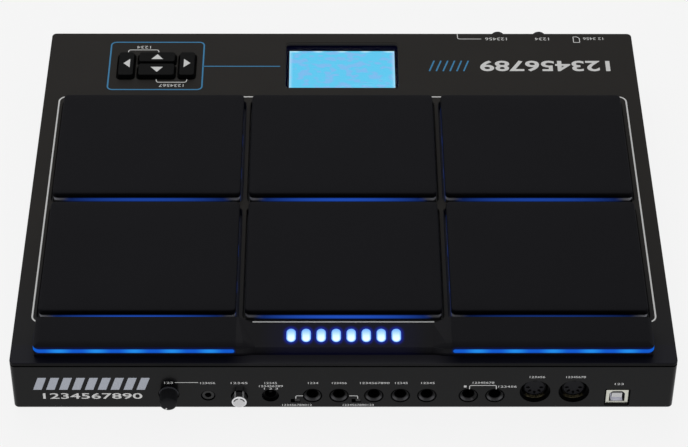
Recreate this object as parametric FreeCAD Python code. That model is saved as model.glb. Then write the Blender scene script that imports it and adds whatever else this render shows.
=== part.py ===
import FreeCAD, Part
import math
import os

# Sampling drum pad. Lengths in mm, +Z up, feet on z = 0.
# The player stands at -Y and the connector wall faces +Y.
# "depth" is the distance from the connector wall's outer face towards the player.

os.makedirs("parts", exist_ok=True)
V = FreeCAD.Vector

# Pads and the lid around them
pad_w = 108.1
pad_d = 89.6
pad_corner = 2.6
pad_round = 1.0          # round on the top edge of a pad
pad_rise = 6.0           # pad top above the lid
pad_rubber = 3.8
pad_travel_gap = 0.6     # free space under the rubber's edge
col_gap = 4.9
row_gap = 6.7
rows_depth = 34.8        # depth of the first row's rear edge
side_margin = 12.95      # outer pad to the case's side
control_d = 66.7         # second row to the case's front face
opening_gap_x = 1.0      # pad to its opening, at the sides
opening_gap_y = 1.3      # pad to its opening, front and rear
edge_break = 0.4         # chamfer round an opening

# Case
case_h = 34.5            # tub underside to lid top
foot_h = 3.0
case_corner = 2.8
tub_bottom_round = 0.9
lid_round = 0.4
lid_edge = 2.1           # height of the lid's visible edge
lid_t = 2.5
seam = 0.9
wall_t = 2.6
floor_t = 2.5
lip_t = 1.2
lip_h = 3.0
lip_gap = 0.25

# Under the pads
plate_t = 1.6
ring_inset = 0.3
ring_t = 2.2
plate_gap = 0.6
foam_t = 6.6
foam_margin = 6.0
tray_t = 1.5
tray_wall_t = 1.5
tray_gap = 0.75          # tray wall to the rings
tab_reach = 7.6
tab_w = 10.0
tab_x = 30.0
tab_inset = 57.0         # outer tabs to the outer pads' edge
rib_gap = 1.2            # tray rib to the rings, each side
led_board_t = 1.6
led_board_w = 6.0
led_size = 3.0
led_h = 0.8
led_gap = 0.1
leds_per_strip = 5
ring_leg_w = 8.0
sensor_r = 13.5
sensor_t = 0.6
sensor_hole_r = 15.0
sensor_column_r = 6.0
edge_sensor_r = 4.5
edge_sensor_depth = 18.0
led_board_inset = 1.0    # light board to the ring, and to the foam
led_board_end_gap = 0.5
ribbon_slot_gap = 1.0

# Raised rim along the rear edge: depth and height above the lid
rim_face = 2.2           # depth of its rear face
rim_foot = 5.5
rim_front = 25.1
rim_front_foot = 26.0
rim_top = 10.4
rim_shoulder = 7.1       # depth at which its top starts to bend down
strip_low = 5.4
strip_high = 8.7
strip_t = 1.2
strip_flange_t = 0.8
strip_flange_depth = 9.0
strip_gap = 0.05
strip_side = 8.0         # how far a strip runs forwards along the rim's end
strip_end_gap = 0.4
strip_flange_in = 6.0    # flange's ends to the flank and to the rim's end
strip_flange_out = 12.0
edge_led_gap = 0.6       # strip's flange to the light board behind it
edge_led_h = 1.2
edge_led_t = 0.5
rim_plate_t = 1.2
rim_wall = 2.0
rim_ledge = 0.4          # housing left under a strip's flange
rim_corner = 4.0
rim_screw_inset = 12.0
rim_screw_depth = 5.0    # rim screws to the rim's front
rim_end_bend = 4.0
flank_outer = 58.0       # half width at which the full rim section begins
flank_inner = 48.0       # half width of the low centre section
centre_front = 20.3
centre_front_foot = 21.2
centre_face = 5.0
centre_foot = 6.4
centre_top_front = 10.0
centre_top_rear = 7.2
centre_undercut = 3.0
centre_skin = 1.6
centre_screw_inset = 8.0
light_bars = 8
light_bar_w = 5.0
light_bar_pitch = 8.1
light_bar_l = 8.6
light_bar_gap = 0.1
light_base_t = 1.2
light_base_margin = 0.8

# Display and keys
display_w = 69.0
display_d = 43.5
display_depth = 13.7     # second row's front edge to the display opening
display_sink = 2.0
window_flange = 2.5
window_t = 1.4
window_gap = 0.2
display_module_margin = 1.0
display_module_t = 6.0
display_board_margin = 2.2
display_post_shift = 14.0    # middle posts stand clear of the module
display_post_inset = 1.5
display_corner = 2.5
window_end_flange = 1.8
key_w = 10.0
key_mid_w = 22.8
key_d = 23.4
key_up_d = 12.1          # the rear one of the middle pair
key_split = 1.1
key_gap = 2.2
key_clear = 0.5
key_corner = 2.0
key_round = 0.5
key_rise = 2.7
key_draft = 0.6          # how much narrower a key is at its top, each side
key_travel = 0.6
key_flange = 0.9
key_flange_t = 1.0
key_lid_gap = 0.15
key_stem_r = 1.7
key_stem_gap = 0.2
key_stem_in = 1.5
keys_side = 42.9         # case side to the nearest key
keys_depth = 8.2         # display opening's rear edge to the keys' rear edge
switch_w = 6.2
switch_h = 3.8

# Knobs and shafts
knob_r = 4.85
knob_flare = 0.3        # how much wider a knob is at its base
knob_round = 1.6
knob_well_r = 5.8        # round recess in the wall that a knob's base stands in
knob_well = 1.2
knob_wall_gap = 0.4
front_knob_reach = 12.5
rear_knob_reach = 8.8
rear_knob_raise = 1.4    # rear knob and button above and below the row of sockets
power_drop = 0.6
shaft_r = 2.5
shaft_gap = 0.1
bush_r = 3.4
bush_gap = 0.2
pot_w = 9.6
pot_d = 7.0
knob_cap_t = 1.5
shaft_back_gap = 0.5
pot_floor_t = 1.5
bush_sink = 1.3

# Rear connectors, in a chain from the case's -X side
usb_side = 30.85
usb_to_din = 23.95
din_pitch = 21.1
din_to_jack = 21.7
jack_gap = 2.05          # between the bodies of neighbouring jacks
out_to_pad_gap = 8.15    # extra room beside the pair of main outputs
slide_room = 4.5         # extra room for the slide switch between two jacks
slide_gap = 0.15
slide_to_dc = 13.6
dc_to_power = 16.9
power_to_aux = 17.0
aux_to_knob = 21.3
jack_floor_gap = 0.8     # tub floor to the jacks' bodies
usb_h = 8.1              # heights above the tub's underside
din_h = 12.65
slide_h = 5.45
front_row_h = 22.5

# Front connectors and knobs, from the case's -X side
sd_side = 30.0
main_knob_side = 56.3
phones_knob_side = 82.1
phones_jack_side = 108.0

# Connector sizes
jack_bore_r = 3.3
jack_collar_r = 5.25
jack_w = 12.4
jack_l = 28.0
jack_sink = 0.2
jack_bore_l = 29.0
jack_mouth = 0.3
jack_funnel = 1.3        # depth and width of the funnel in front of the bore
aux_sink = 0.5
aux_bore_r = 1.8
aux_collar_r = 3.85
aux_w = 9.0
aux_l = 13.0
aux_bore_l = 14.0
hole_gap = 0.1
dc_bore_r = 3.15
dc_pin_r = 1.05
dc_collar_r = 4.6
dc_w = 9.6
dc_l = 14.0
dc_bore_l = 9.5
dc_sink = 1.9
dc_pin_sink = 3.0
dc_pin_round = 0.4
power_r = 4.1
power_hole_r = 4.7
power_reach = 4.8
power_travel = 3.0
power_inner = 2.0
power_stem_r = 2.0
power_stem_gap = 0.2
power_switch_w = 8.0
power_switch_l = 18.0
power_stem_l = 5.0
power_crown = 0.7
power_switch_gap = 1.0   # free room past the button's travel
power_well_gap = 0.5
din_hole_r = 8.4
din_throat_r = 7.25
din_insert_r = 6.1
din_insert_sink = 3.2
din_recess = 8.0
din_w = 19.0
din_l = 14.0
din_pin_circle_r = 3.5
din_pin_hole_r = 0.8
din_pins = 5
din_key_w = 2.2
din_key_h = 1.3
din_pin_floor = 1.0
usb_w = 12.04
usb_tall = 10.9
usb_l = 16.0
usb_hole_gap = 0.4
usb_mouth_w = 8.5
usb_mouth_h = 7.8
usb_mouth_bevel = 1.8
usb_mouth_l = 9.0
usb_tongue_w = 5.6
usb_tongue_h = 3.2
usb_sink = 0.95
usb_tongue_sink = 0.8
usb_tab_inset = 6.0
slide_slot_w = 5.2
slide_slot_h = 2.7
slide_lever_w = 2.6
slide_lever_h = 2.1
slide_travel = 2.0
slide_w = 5.8
slide_body_h = 5.4
slide_body_l = 6.4
slide_leg_t = 0.6
slide_lever_sink = 0.5
slide_floor_t = 1.2
slide_lever_gap = 0.3
slide_leg_inset = 0.4
sd_w = 28.0
sd_tall = 3.6
sd_l = 28.0
sd_slot_w = 24.6
sd_slot_h = 2.4
sd_window_gap = 0.6
sd_end_t = 2.0

# Boards
board_t = 1.6
board_hole_gap = 0.5
board_wall_gap = 0.6     # board to the case wall beside it
jack_board_gap = 0.9     # top of a jack's round part to its board
din_board_gap = 0.25
usb_board_gap = 0.65
board_post_room = 9.0    # board in front of a socket, where its posts stand
board_margin = 1.0
usb_board_half = 11.0
volume_post_room = 12.0
main_board_side = 62.0   # main board to the case's side
main_board_d = 152.0
main_post_inset = 6.0
main_board_h = 9.0       # main board's underside above the tub's underside
header_w = 22.0
header_d = 5.0
header_h = 4.0
header_inset = 12.0      # ribbon headers to the main board's edges
io_header_depth = 16.0
display_header_inset = 4.0
volume_header_inset = 1.0
ribbon_w = 20.0
ribbon_t = 0.8
display_ribbon_x = -22.0
volume_ribbon_shift = 8.0    # ribbon beside the phones knob
led_ribbon_x = 0.0

# Fixings
boss_r = 3.5
boss_joint_h = 17.0      # where tub and lid bosses meet, above the tub's underside
boss_inset = 6.6         # boss centre to the case's side
boss_rear = 8.0          # corner bosses to the rear and front faces
boss_front = 8.4
boss_to_pads = 8.2       # middle front bosses to the second row
boss_front_x = 64.0
rear_boss_depth = 12.0
case_screw_r = 1.5
case_screw_gap = 0.2
case_head_r = 2.8
case_head_h = 2.0
case_head_sink = 0.4
head_pillar_t = 1.5      # wall round a sunk screw head
case_screw_bite = 6.0
board_screw_r = 1.25
board_head_r = 2.3
board_head_h = 1.5
board_screw_bite = 4.0
screw_hole_gap = 0.15
post_r = 3.0
foot_r = 9.0
foot_recess = 1.0
foot_round = 0.8
foot_side = 30.0
foot_rear = 35.0
foot_front = 35.0
insert_r = 3.5
insert_l = 7.0
insert_bore_r = 2.1
insert_boss_r = 5.5
insert_cap_t = 1.0
stand_x = 72.0
stand_y = 54.0

# Worked out from the values above
half_w = 1.5 * pad_w + col_gap + side_margin
case_d = rows_depth + 2.0 * pad_d + row_gap + control_d
top_z = foot_h + case_h
lid_under = top_z - lid_t
seam_top = top_z - lid_edge
floor_z = foot_h + floor_t
rear_y = (case_d + front_knob_reach - rear_knob_reach) / 2.0
pads_half = 1.5 * pad_w + col_gap
pad_top = top_z + pad_rise
rubber_low = pad_top - pad_rubber
plate_low = rubber_low - plate_t
tray_top = plate_low - foam_t
tray_low = tray_top - tray_t
ring_high = rubber_low - pad_travel_gap
ring_low = tray_top + led_board_t + led_h + led_gap
second_row_front = rows_depth + 2.0 * pad_d + row_gap
display_rear = second_row_front + display_depth
boss_joint_z = foot_h + boss_joint_h
inner_face = wall_t
front_inner = case_d - wall_t
main_board_w = 2.0 * (half_w - main_board_side)
row_z = floor_z + jack_floor_gap + jack_w / 2.0
front_row_z = foot_h + front_row_h
rear_knob_z = row_z + rear_knob_raise
power_z = row_z - power_drop
jack_board_z = row_z + jack_w / 2.0 + jack_board_gap
din_z = foot_h + din_h
din_board_z = din_z + din_w / 2.0 + din_board_gap
usb_z = foot_h + usb_h
usb_board_z = usb_z + usb_tall / 2.0 + usb_board_gap
volume_board_z = front_row_z - jack_w / 2.0 - board_t
window_low = lid_under - window_t
display_board_z = window_low - display_module_t - board_t
main_board_z = foot_h + main_board_h


def back(depth):
    """The y of a point that lies this far in front of the connector wall."""
    return rear_y - depth


def side(distance):
    """The x of a point this far from the case's -X side."""
    return distance - half_w


def block(x0, x1, depth0, depth1, z0, z1):
    """Box between two x, two depths and two heights."""
    return Part.makeBox(x1 - x0, depth1 - depth0, z1 - z0, V(x0, back(depth1), z0))


def centred_block(x, width, depth0, depth1, z0, z1):
    return block(x - width / 2.0, x + width / 2.0, depth0, depth1, z0, z1)


def round_outline(x0, x1, depth0, depth1, corner, z):
    """Level rectangle with round corners."""
    y0 = back(depth1)
    y1 = back(depth0)
    up = V(0, 0, 1)
    centres = [(x1 - corner, y1 - corner), (x0 + corner, y1 - corner),
               (x0 + corner, y0 + corner), (x1 - corner, y0 + corner)]
    arcs = [Part.makeCircle(corner, V(x, y, z), up, 90.0 * i, 90.0 * i + 90.0)
            for i, (x, y) in enumerate(centres)]
    edges = []
    for arc, following in zip(arcs, arcs[1:] + arcs[:1]):
        edges.append(arc)
        start = arc.lastVertex().Point
        end = following.firstVertex().Point
        if start.distanceToPoint(end) > 0.001:
            edges.append(Part.makeLine(start, end))
    return Part.Wire(edges)


def slab(x0, x1, depth0, depth1, corner, z0, z1):
    """Upright prism on a rectangle with round corners."""
    return Part.Face(round_outline(x0, x1, depth0, depth1, corner, z0)).extrude(V(0, 0, z1 - z0))


def post(x, depth, r, z0, z1):
    """Upright cylinder."""
    return Part.makeCylinder(r, z1 - z0, V(x, back(depth), z0))


def rod(x, z, r, depth0, depth1):
    """Cylinder along Y."""
    return Part.makeCylinder(r, depth1 - depth0, V(x, back(depth0), z), V(0, -1, 0))


def profile_prism(points, x0, x1):
    """Prism along X on a closed outline of (depth, height above the lid) points."""
    corners = [V(x0, back(d), top_z + h) for d, h in points]
    return Part.Face(Part.makePolygon(corners + corners[:1])).extrude(V(x1 - x0, 0, 0))


def edges_at_height(shape, z):
    """Edges that lie wholly in the plane at this height."""
    return [e for e in shape.Edges if abs(e.BoundBox.ZMin - z) < 0.01 and abs(e.BoundBox.ZMax - z) < 0.01]


def edges_at_depth(shape, depth):
    """Edges that lie wholly in the upright plane at this depth."""
    y = back(depth)
    return [e for e in shape.Edges if abs(e.BoundBox.YMin - y) < 0.01 and abs(e.BoundBox.YMax - y) < 0.01]


def joined(shapes):
    """One solid from shapes that overlap or meet face to face."""
    return shapes[0].multiFuse(shapes[1:]).removeSplitter() if len(shapes) > 1 else shapes[0]


def without(shape, tools):
    return shape.cut(tools)


def mirrored(shape):
    return shape.mirror(V(0, 0, 0), V(1, 0, 0))


def save(name, solids):
    """Write one node, one solid or a group of separate solids."""
    group = solids if isinstance(solids, list) else [solids]
    pieces = [piece for shape in group for piece in shape.Solids]
    shape = pieces[0] if len(pieces) == 1 else Part.makeCompound(pieces)
    shape.exportStep("parts/" + name + ".step")


# Where things are in plan

din_sides = (usb_side + usb_to_din, usb_side + usb_to_din + din_pitch)
jack_pitch = jack_w + jack_gap
jack_sides = [din_sides[1] + din_to_jack]
for extra in (0.0, out_to_pad_gap, 0.0, 0.0, slide_room, 0.0):
    jack_sides.append(jack_sides[-1] + jack_pitch + extra)
slide_sides = ((jack_sides[4] + jack_sides[5]) / 2.0, jack_sides[6] + (jack_w + slide_w) / 2.0 + slide_gap)
dc_side = slide_sides[1] + slide_to_dc
power_side = dc_side + dc_to_power
aux_side = power_side + power_to_aux
rear_knob_side = aux_side + aux_to_knob

pad_spots = []
for row_number in range(2):
    for col_number in range(3):
        x_centre = (col_number - 1) * (pad_w + col_gap)
        rear_edge = rows_depth + row_number * (pad_d + row_gap)
        pad_spots.append((x_centre, rear_edge))

keys_right_x = half_w - keys_side
key_mid_x = keys_right_x - key_w - key_gap - key_mid_w / 2.0
key_left_x = key_mid_x - key_mid_w / 2.0 - key_gap - key_w / 2.0
keys_rear = display_rear + keys_depth
key_down_d = key_d - key_split - key_up_d
key_spots = {
    "key_right": (keys_right_x - key_w / 2.0, keys_rear + key_d / 2.0, key_w, key_d),
    "key_left": (key_left_x, keys_rear + key_d / 2.0, key_w, key_d),
    "key_up": (key_mid_x, keys_rear + key_up_d / 2.0, key_mid_w, key_up_d),
    "key_down": (key_mid_x, keys_rear + key_d - key_down_d / 2.0, key_mid_w, key_down_d),
}

rear_boss_left = side((jack_sides[1] + jack_sides[2]) / 2.0)
rear_boss_right = side((aux_side + rear_knob_side) / 2.0)
boss_x = half_w - boss_inset
front_boss_depth = second_row_front + boss_to_pads
middle_depth = rows_depth + pad_d + row_gap / 2.0
case_boss_spots = [
    (-boss_x, boss_rear), (boss_x, boss_rear), (-boss_x, middle_depth), (boss_x, middle_depth),
    (-boss_x, case_d - boss_front), (boss_x, case_d - boss_front),
    (-boss_front_x, front_boss_depth), (boss_front_x, front_boss_depth),
    (rear_boss_left, rear_boss_depth), (rear_boss_right, rear_boss_depth),
]

tab_xs = [-pads_half + tab_inset, -tab_x, tab_x, pads_half - tab_inset]
tray_rear = rows_depth + ring_inset - tray_gap - tray_wall_t
tray_front = second_row_front - ring_inset + tray_gap + tray_wall_t
tab_spots = [(x, tray_rear - tab_reach / 2.0) for x in tab_xs]
tab_spots += [(x, tray_front + tab_reach / 2.0) for x in tab_xs]

rim_screw_spots = []
for rim_end in (-1.0, 1.0):
    for screw_x in (pads_half - rim_screw_inset, pads_half / 2.0 - rim_screw_inset):
        rim_screw_spots.append((rim_end * screw_x, rim_front - rim_screw_depth))
rim_screw_spots += [(x, (centre_face + centre_front) / 2.0) for x in (-flank_inner + centre_screw_inset,
                                                                     flank_inner - centre_screw_inset)]

display_half = display_w / 2.0
display_front = display_rear + display_d
module_half = display_half + window_flange + display_module_margin
post_room = post_r + 1.0
display_post_xs = [-module_half - post_room, module_half + post_room + display_post_shift,
                   keys_right_x + post_room]
display_post_spots = [(x, depth) for x in display_post_xs
                      for depth in (display_rear + display_post_inset, display_front - display_post_inset)]
display_board_x0 = display_post_xs[0] - post_room
display_board_x1 = display_post_xs[2] + post_room

main_rear = (case_d - main_board_d) / 2.0
main_front = main_rear + main_board_d
main_post_x = main_board_w / 2.0 - main_post_inset
main_post_spots = [(x, d) for x in (-main_post_x, 0.0, main_post_x)
                   for d in (main_rear + main_post_inset, main_front - main_post_inset)]

jack_board_x0 = side(jack_sides[0] - jack_w / 2.0 - board_margin)
jack_board_x1 = side(rear_knob_side + pot_w / 2.0 + board_margin)
jack_board_front = inner_face + jack_l + board_margin
jack_post_depth = jack_board_front - post_room - 2.0
jack_post_xs = (rear_boss_left, side((dc_side + power_side) / 2.0), rear_boss_right)
jack_post_spots = [(x, jack_post_depth) for x in jack_post_xs]
din_board_x0 = side(din_sides[0] - din_w / 2.0 - board_margin)
din_board_x1 = side(din_sides[1] + din_w / 2.0 + board_margin)
din_post_spots = [(side(s), inner_face + din_l + board_post_room / 2.0) for s in din_sides]
usb_board_x0 = side(usb_side - usb_board_half)
usb_board_x1 = side(usb_side + usb_board_half)
usb_post_x = usb_board_half - post_room - 1.0
usb_post_spots = [(side(s), inner_face + usb_l + board_post_room / 2.0) for s in (usb_side - usb_post_x,
                                                                                 usb_side + usb_post_x)]
volume_board_x0 = side(sd_side - sd_w / 2.0 - 3.0 * board_margin)
volume_board_x1 = side(phones_jack_side + jack_w / 2.0 + 3.0 * board_margin)
volume_board_rear = front_inner - jack_l - board_post_room / 2.0
volume_post_depth = front_inner - pot_d - volume_post_room
volume_post_spots = [(side(s), volume_post_depth) for s in (main_knob_side, phones_knob_side,
                                                            (phones_knob_side + main_knob_side) / 2.0)]

foot_x = half_w - foot_side
foot_spots = [(x, depth) for x in (-foot_x, foot_x) for depth in (foot_rear, case_d - foot_front)]
stand_spots = [(x, case_d / 2.0 + y) for x in (-stand_x / 2.0, stand_x / 2.0)
               for y in (-stand_y / 2.0, stand_y / 2.0)]


# Case

def opening(x0, x1, depth0, depth1, corner):
    """Cutter for an opening in the lid, with its top edge broken."""
    hole = slab(x0, x1, depth0, depth1, corner, lid_under - 1.0, top_z + 1.0)
    flare = slab(x0 - edge_break, x1 + edge_break, depth0 - edge_break, depth1 + edge_break,
                 corner + edge_break, top_z - edge_break, top_z + 1.0)
    flare = flare.makeChamfer(edge_break * 0.99, edges_at_height(flare, top_z - edge_break))
    return hole.fuse(flare)


def make_top_cover():
    lid = slab(-half_w, half_w, 0.0, case_d, case_corner, seam_top, top_z)
    lid = lid.makeFillet(lid_round, edges_at_height(lid, top_z))
    inset = wall_t + lip_gap
    corner = max(case_corner - inset, 0.5)
    thick = slab(-half_w + inset, half_w - inset, inset, case_d - inset, corner, lid_under, seam_top)
    lip = slab(-half_w + inset, half_w - inset, inset, case_d - inset, corner, lid_under - lip_h, lid_under)
    lip_in = inset + lip_t
    hollow = slab(-half_w + lip_in, half_w - lip_in, lip_in, case_d - lip_in, max(corner - lip_t, 0.4),
                  lid_under - lip_h, lid_under)
    parts = [lid, thick, lip.cut(hollow)]
    holes = []
    for x, depth in case_boss_spots:
        parts.append(post(x, depth, boss_r, boss_joint_z, lid_under))
        holes.append(post(x, depth, case_screw_r, boss_joint_z, boss_joint_z + case_screw_bite))
    for x, depth in tab_spots:
        parts.append(post(x, depth, post_r, tray_top, lid_under))
        holes.append(post(x, depth, board_screw_r, tray_top, tray_top + board_screw_bite))
    for x, depth in display_post_spots:
        parts.append(post(x, depth, post_r, display_board_z + board_t, lid_under))
        holes.append(post(x, depth, board_screw_r, display_board_z + board_t,
                          display_board_z + board_t + board_screw_bite))
    for x, depth in rim_screw_spots:
        holes.append(post(x, depth, board_screw_r, lid_under, top_z))
    for x, rear in pad_spots:
        holes.append(opening(x - pad_w / 2.0 - opening_gap_x, x + pad_w / 2.0 + opening_gap_x,
                             rear - opening_gap_y, rear + pad_d + opening_gap_y, pad_corner + opening_gap_x))
    holes.append(opening(-display_half, display_half, display_rear, display_front, display_corner))
    for x, depth, width, deep in key_spots.values():
        grow = key_clear
        holes.append(opening(x - width / 2.0 - grow, x + width / 2.0 + grow, depth - deep / 2.0 - grow,
                             depth + deep / 2.0 + grow, key_corner + grow))
    return without(joined(parts), holes)


def rear_holes():
    """Cutters for the connector wall."""
    out = -1.0
    cutters = [rod(side(s), row_z, jack_collar_r + hole_gap, out, inner_face) for s in jack_sides]
    cutters += [rod(side(s), din_z, din_hole_r, out, inner_face) for s in din_sides]
    cutters.append(rod(side(aux_side), row_z, aux_collar_r + hole_gap, out, inner_face))
    cutters.append(rod(side(dc_side), row_z, dc_collar_r + hole_gap, out, inner_face))
    cutters.append(rod(side(power_side), power_z, power_hole_r, out, inner_face))
    cutters.append(rod(side(rear_knob_side), rear_knob_z, bush_r + bush_gap, out, inner_face))
    cutters.append(rod(side(rear_knob_side), rear_knob_z, knob_well_r, out, knob_well))
    for s in slide_sides:
        z = foot_h + slide_h
        cutters.append(centred_block(side(s), slide_slot_w, out, inner_face, z - slide_slot_h / 2.0,
                                     z + slide_slot_h / 2.0))
    cutters.append(centred_block(side(usb_side), usb_w + 2.0 * usb_hole_gap, out, inner_face,
                                 usb_z - usb_tall / 2.0 - usb_hole_gap / 2.0,
                                 usb_z + usb_tall / 2.0 + usb_hole_gap / 2.0))
    return cutters


def front_holes():
    """Cutters for the wall that faces the player."""
    out = case_d + 1.0
    cutters = []
    for s in (main_knob_side, phones_knob_side):
        cutters.append(rod(side(s), front_row_z, bush_r + bush_gap, front_inner, out))
        cutters.append(rod(side(s), front_row_z, knob_well_r, case_d - knob_well, out))
    cutters.append(rod(side(phones_jack_side), front_row_z, jack_collar_r + hole_gap, front_inner, out))
    sd_z = volume_board_z + board_t + sd_tall / 2.0
    reach = sd_slot_h / 2.0 + sd_window_gap
    cutters.append(centred_block(side(sd_side), sd_slot_w + 2.0 * sd_window_gap, front_inner, out,
                                 sd_z - reach, sd_z + reach))
    return cutters


def board_posts():
    """Every post that rises from the tub's floor, with the height at which it ends."""
    groups = [(main_post_spots, main_board_z), (jack_post_spots, jack_board_z), (din_post_spots, din_board_z),
              (usb_post_spots, usb_board_z), (volume_post_spots, volume_board_z)]
    return [(x, depth, z) for spots, z in groups for x, depth in spots]


def make_bottom_case():
    tub = slab(-half_w, half_w, 0.0, case_d, case_corner, foot_h, seam_top)
    tub = tub.makeFillet(tub_bottom_round, edges_at_height(tub, foot_h))
    inner_corner = max(case_corner - wall_t, 0.5)
    hollow = slab(-half_w + wall_t, half_w - wall_t, wall_t, case_d - wall_t, inner_corner, floor_z, seam_top)
    tongue = wall_t / 2.0
    groove_low = seam_top - seam
    groove = slab(-half_w - 1.0, half_w + 1.0, -1.0, case_d + 1.0, case_corner, groove_low, seam_top + 1.0)
    groove = groove.cut(slab(-half_w + tongue, half_w - tongue, tongue, case_d - tongue, case_corner - tongue,
                             groove_low - 1.0, seam_top + 1.0))
    tub = without(tub, [hollow, groove])
    posts = []
    holes = []
    head_room_r = case_head_r + case_screw_gap
    head_seat = foot_h + case_head_sink + case_head_h
    for x, depth in case_boss_spots:
        posts.append(post(x, depth, boss_r, floor_z, boss_joint_z))
        holes.append(post(x, depth, case_screw_r + case_screw_gap, foot_h, boss_joint_z))
        holes.append(post(x, depth, head_room_r, foot_h, head_seat))
        posts.append(post(x, depth, head_room_r + head_pillar_t, floor_z, floor_z + head_pillar_t))
    for x, depth, z in board_posts():
        posts.append(post(x, depth, post_r, floor_z, z))
        holes.append(post(x, depth, board_screw_r, z - board_screw_bite, z))
    for x, depth in stand_spots:
        posts.append(post(x, depth, insert_boss_r, floor_z, foot_h + insert_l + insert_cap_t))
        holes.append(post(x, depth, insert_r, foot_h, foot_h + insert_l))
    for x, depth in foot_spots:
        holes.append(post(x, depth, foot_r, foot_h, foot_h + foot_recess))
    return without(joined([tub] + posts), holes + rear_holes() + front_holes())


def make_feet():
    feet = []
    for x, depth in foot_spots:
        foot = post(x, depth, foot_r, 0.0, foot_h + foot_recess)
        feet.append(foot.makeFillet(foot_round, edges_at_height(foot, 0.0)))
    return feet


def screw(x, depth, under_head, length, shank_r, head_r, head_h, up):
    """Pan-head screw whose shank goes up or down from the plane under its head."""
    if up:
        shank = post(x, depth, shank_r, under_head, under_head + length)
        head = post(x, depth, head_r, under_head - head_h, under_head)
        far = under_head - head_h
    else:
        shank = post(x, depth, shank_r, under_head - length, under_head)
        head = post(x, depth, head_r, under_head, under_head + head_h)
        far = under_head + head_h
    head = head.makeFillet(min(0.5, head_h / 3.0), edges_at_height(head, far))
    return joined([head, shank])


def make_case_screws():
    seat = foot_h + case_head_sink + case_head_h
    length = boss_joint_z + case_screw_bite - seat
    return [screw(x, depth, seat, length, case_screw_r, case_head_r, case_head_h, True)
            for x, depth in case_boss_spots]


def make_board_screws():
    length = board_t + board_screw_bite
    screws = [screw(x, depth, z + board_t, length, board_screw_r, board_head_r, board_head_h, False)
              for x, depth, z in board_posts()]
    screws += [screw(x, depth, display_board_z, length, board_screw_r, board_head_r, board_head_h, True)
               for x, depth in display_post_spots]
    screws += [screw(x, depth, tray_low, tray_t + board_screw_bite, board_screw_r, board_head_r,
                     board_head_h, True) for x, depth in tab_spots]
    screws += [screw(x, depth, lid_under, lid_t + board_screw_bite, board_screw_r, board_head_r,
                     board_head_h, True) for x, depth in rim_screw_spots]
    return screws


def make_stand_inserts():
    inserts = []
    for x, depth in stand_spots:
        body = post(x, depth, insert_r, foot_h, foot_h + insert_l)
        inserts.append(body.cut(post(x, depth, insert_bore_r, foot_h, foot_h + insert_l)))
    return inserts


# Pads

def make_pad(x, rear):
    body = slab(x - pad_w / 2.0, x + pad_w / 2.0, rear, rear + pad_d, pad_corner, rubber_low, pad_top)
    return body.makeFillet(pad_round, edges_at_height(body, pad_top))


def pad_inset(x, rear, inset, z0, z1):
    """Slab with a pad's outline, drawn in on all sides."""
    corner = max(pad_corner - inset, 1.0)
    half = pad_w / 2.0 - inset
    return slab(x - half, x + half, rear + inset, rear + pad_d - inset, corner, z0, z1)


def make_plate(x, rear):
    return pad_inset(x, rear, ring_inset + ring_t + plate_gap, plate_low, rubber_low)


def make_ring(x, rear):
    outer = pad_inset(x, rear, ring_inset, ring_low, ring_high)
    inner = pad_inset(x, rear, ring_inset + ring_t, ring_low, ring_high)
    parts = [outer.cut(inner)]
    reach = pad_w / 2.0 - ring_inset
    for depth in (rear + pad_d / 3.0, rear + pad_d * 2.0 / 3.0):
        for x0 in (x - reach, x + reach - ring_t):
            parts.append(block(x0, x0 + ring_t, depth - ring_leg_w / 2.0, depth + ring_leg_w / 2.0,
                               tray_top, ring_low))
    return joined(parts)


def make_foams():
    foams = []
    inset_x = ring_inset + ring_t + foam_margin
    inset_y = ring_inset + 2.0 * led_board_inset + led_board_w
    for x, rear in pad_spots:
        sheet = block(x - pad_w / 2.0 + inset_x, x + pad_w / 2.0 - inset_x, rear + inset_y,
                      rear + pad_d - inset_y, tray_top, plate_low)
        centre = rear + pad_d / 2.0
        foams.append(sheet.cut(post(x, centre, sensor_hole_r, tray_top, plate_low)))
        foams.append(post(x, centre, sensor_column_r, tray_top + sensor_t, plate_low))
    return foams


def make_sensors():
    discs = [post(x, rear + pad_d / 2.0, sensor_r, tray_top, tray_top + sensor_t) for x, rear in pad_spots]
    under_plate = top_z + strip_low + strip_flange_t
    for x in (-(flank_outer + pads_half) / 2.0, (flank_outer + pads_half) / 2.0):
        discs.append(post(x, edge_sensor_depth, edge_sensor_r, under_plate - sensor_t, under_plate))
    return discs


def make_tray():
    half = pads_half - ring_inset + tray_gap + tray_wall_t
    shell = block(-half, half, tray_rear, tray_front, tray_low, lid_under)
    bays = []
    for x, rear in pad_spots:
        grow_x = rib_gap - ring_inset
        grow_y = rib_gap - ring_inset
        x0 = x - pad_w / 2.0 - grow_x
        x1 = x + pad_w / 2.0 + grow_x
        depth0 = rear - grow_y
        depth1 = rear + pad_d + grow_y
        bays.append(block(max(x0, -half + tray_wall_t), min(x1, half - tray_wall_t),
                          max(depth0, tray_rear + tray_wall_t), min(depth1, tray_front - tray_wall_t),
                          tray_top, lid_under))
    tray = without(shell, bays)
    tabs = []
    for x, depth in tab_spots:
        near = depth - tab_reach / 2.0
        tabs.append(centred_block(x, tab_w, near, near + tab_reach, tray_low, tray_top))
    holes = [post(x, depth, board_screw_r + screw_hole_gap, tray_low, tray_top) for x, depth in tab_spots]
    slot = ribbon_t / 2.0 + ribbon_slot_gap
    holes.append(centred_block(led_ribbon_x, ribbon_w + 2.0 * ribbon_slot_gap, led_ribbon_depth - slot,
                               led_ribbon_depth + slot, tray_low, tray_top))
    return without(joined([tray] + tabs), holes)


led_board_edge = ring_inset + led_board_inset + led_board_w / 2.0
led_ribbon_depth = rows_depth + pad_d - led_board_edge


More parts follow.
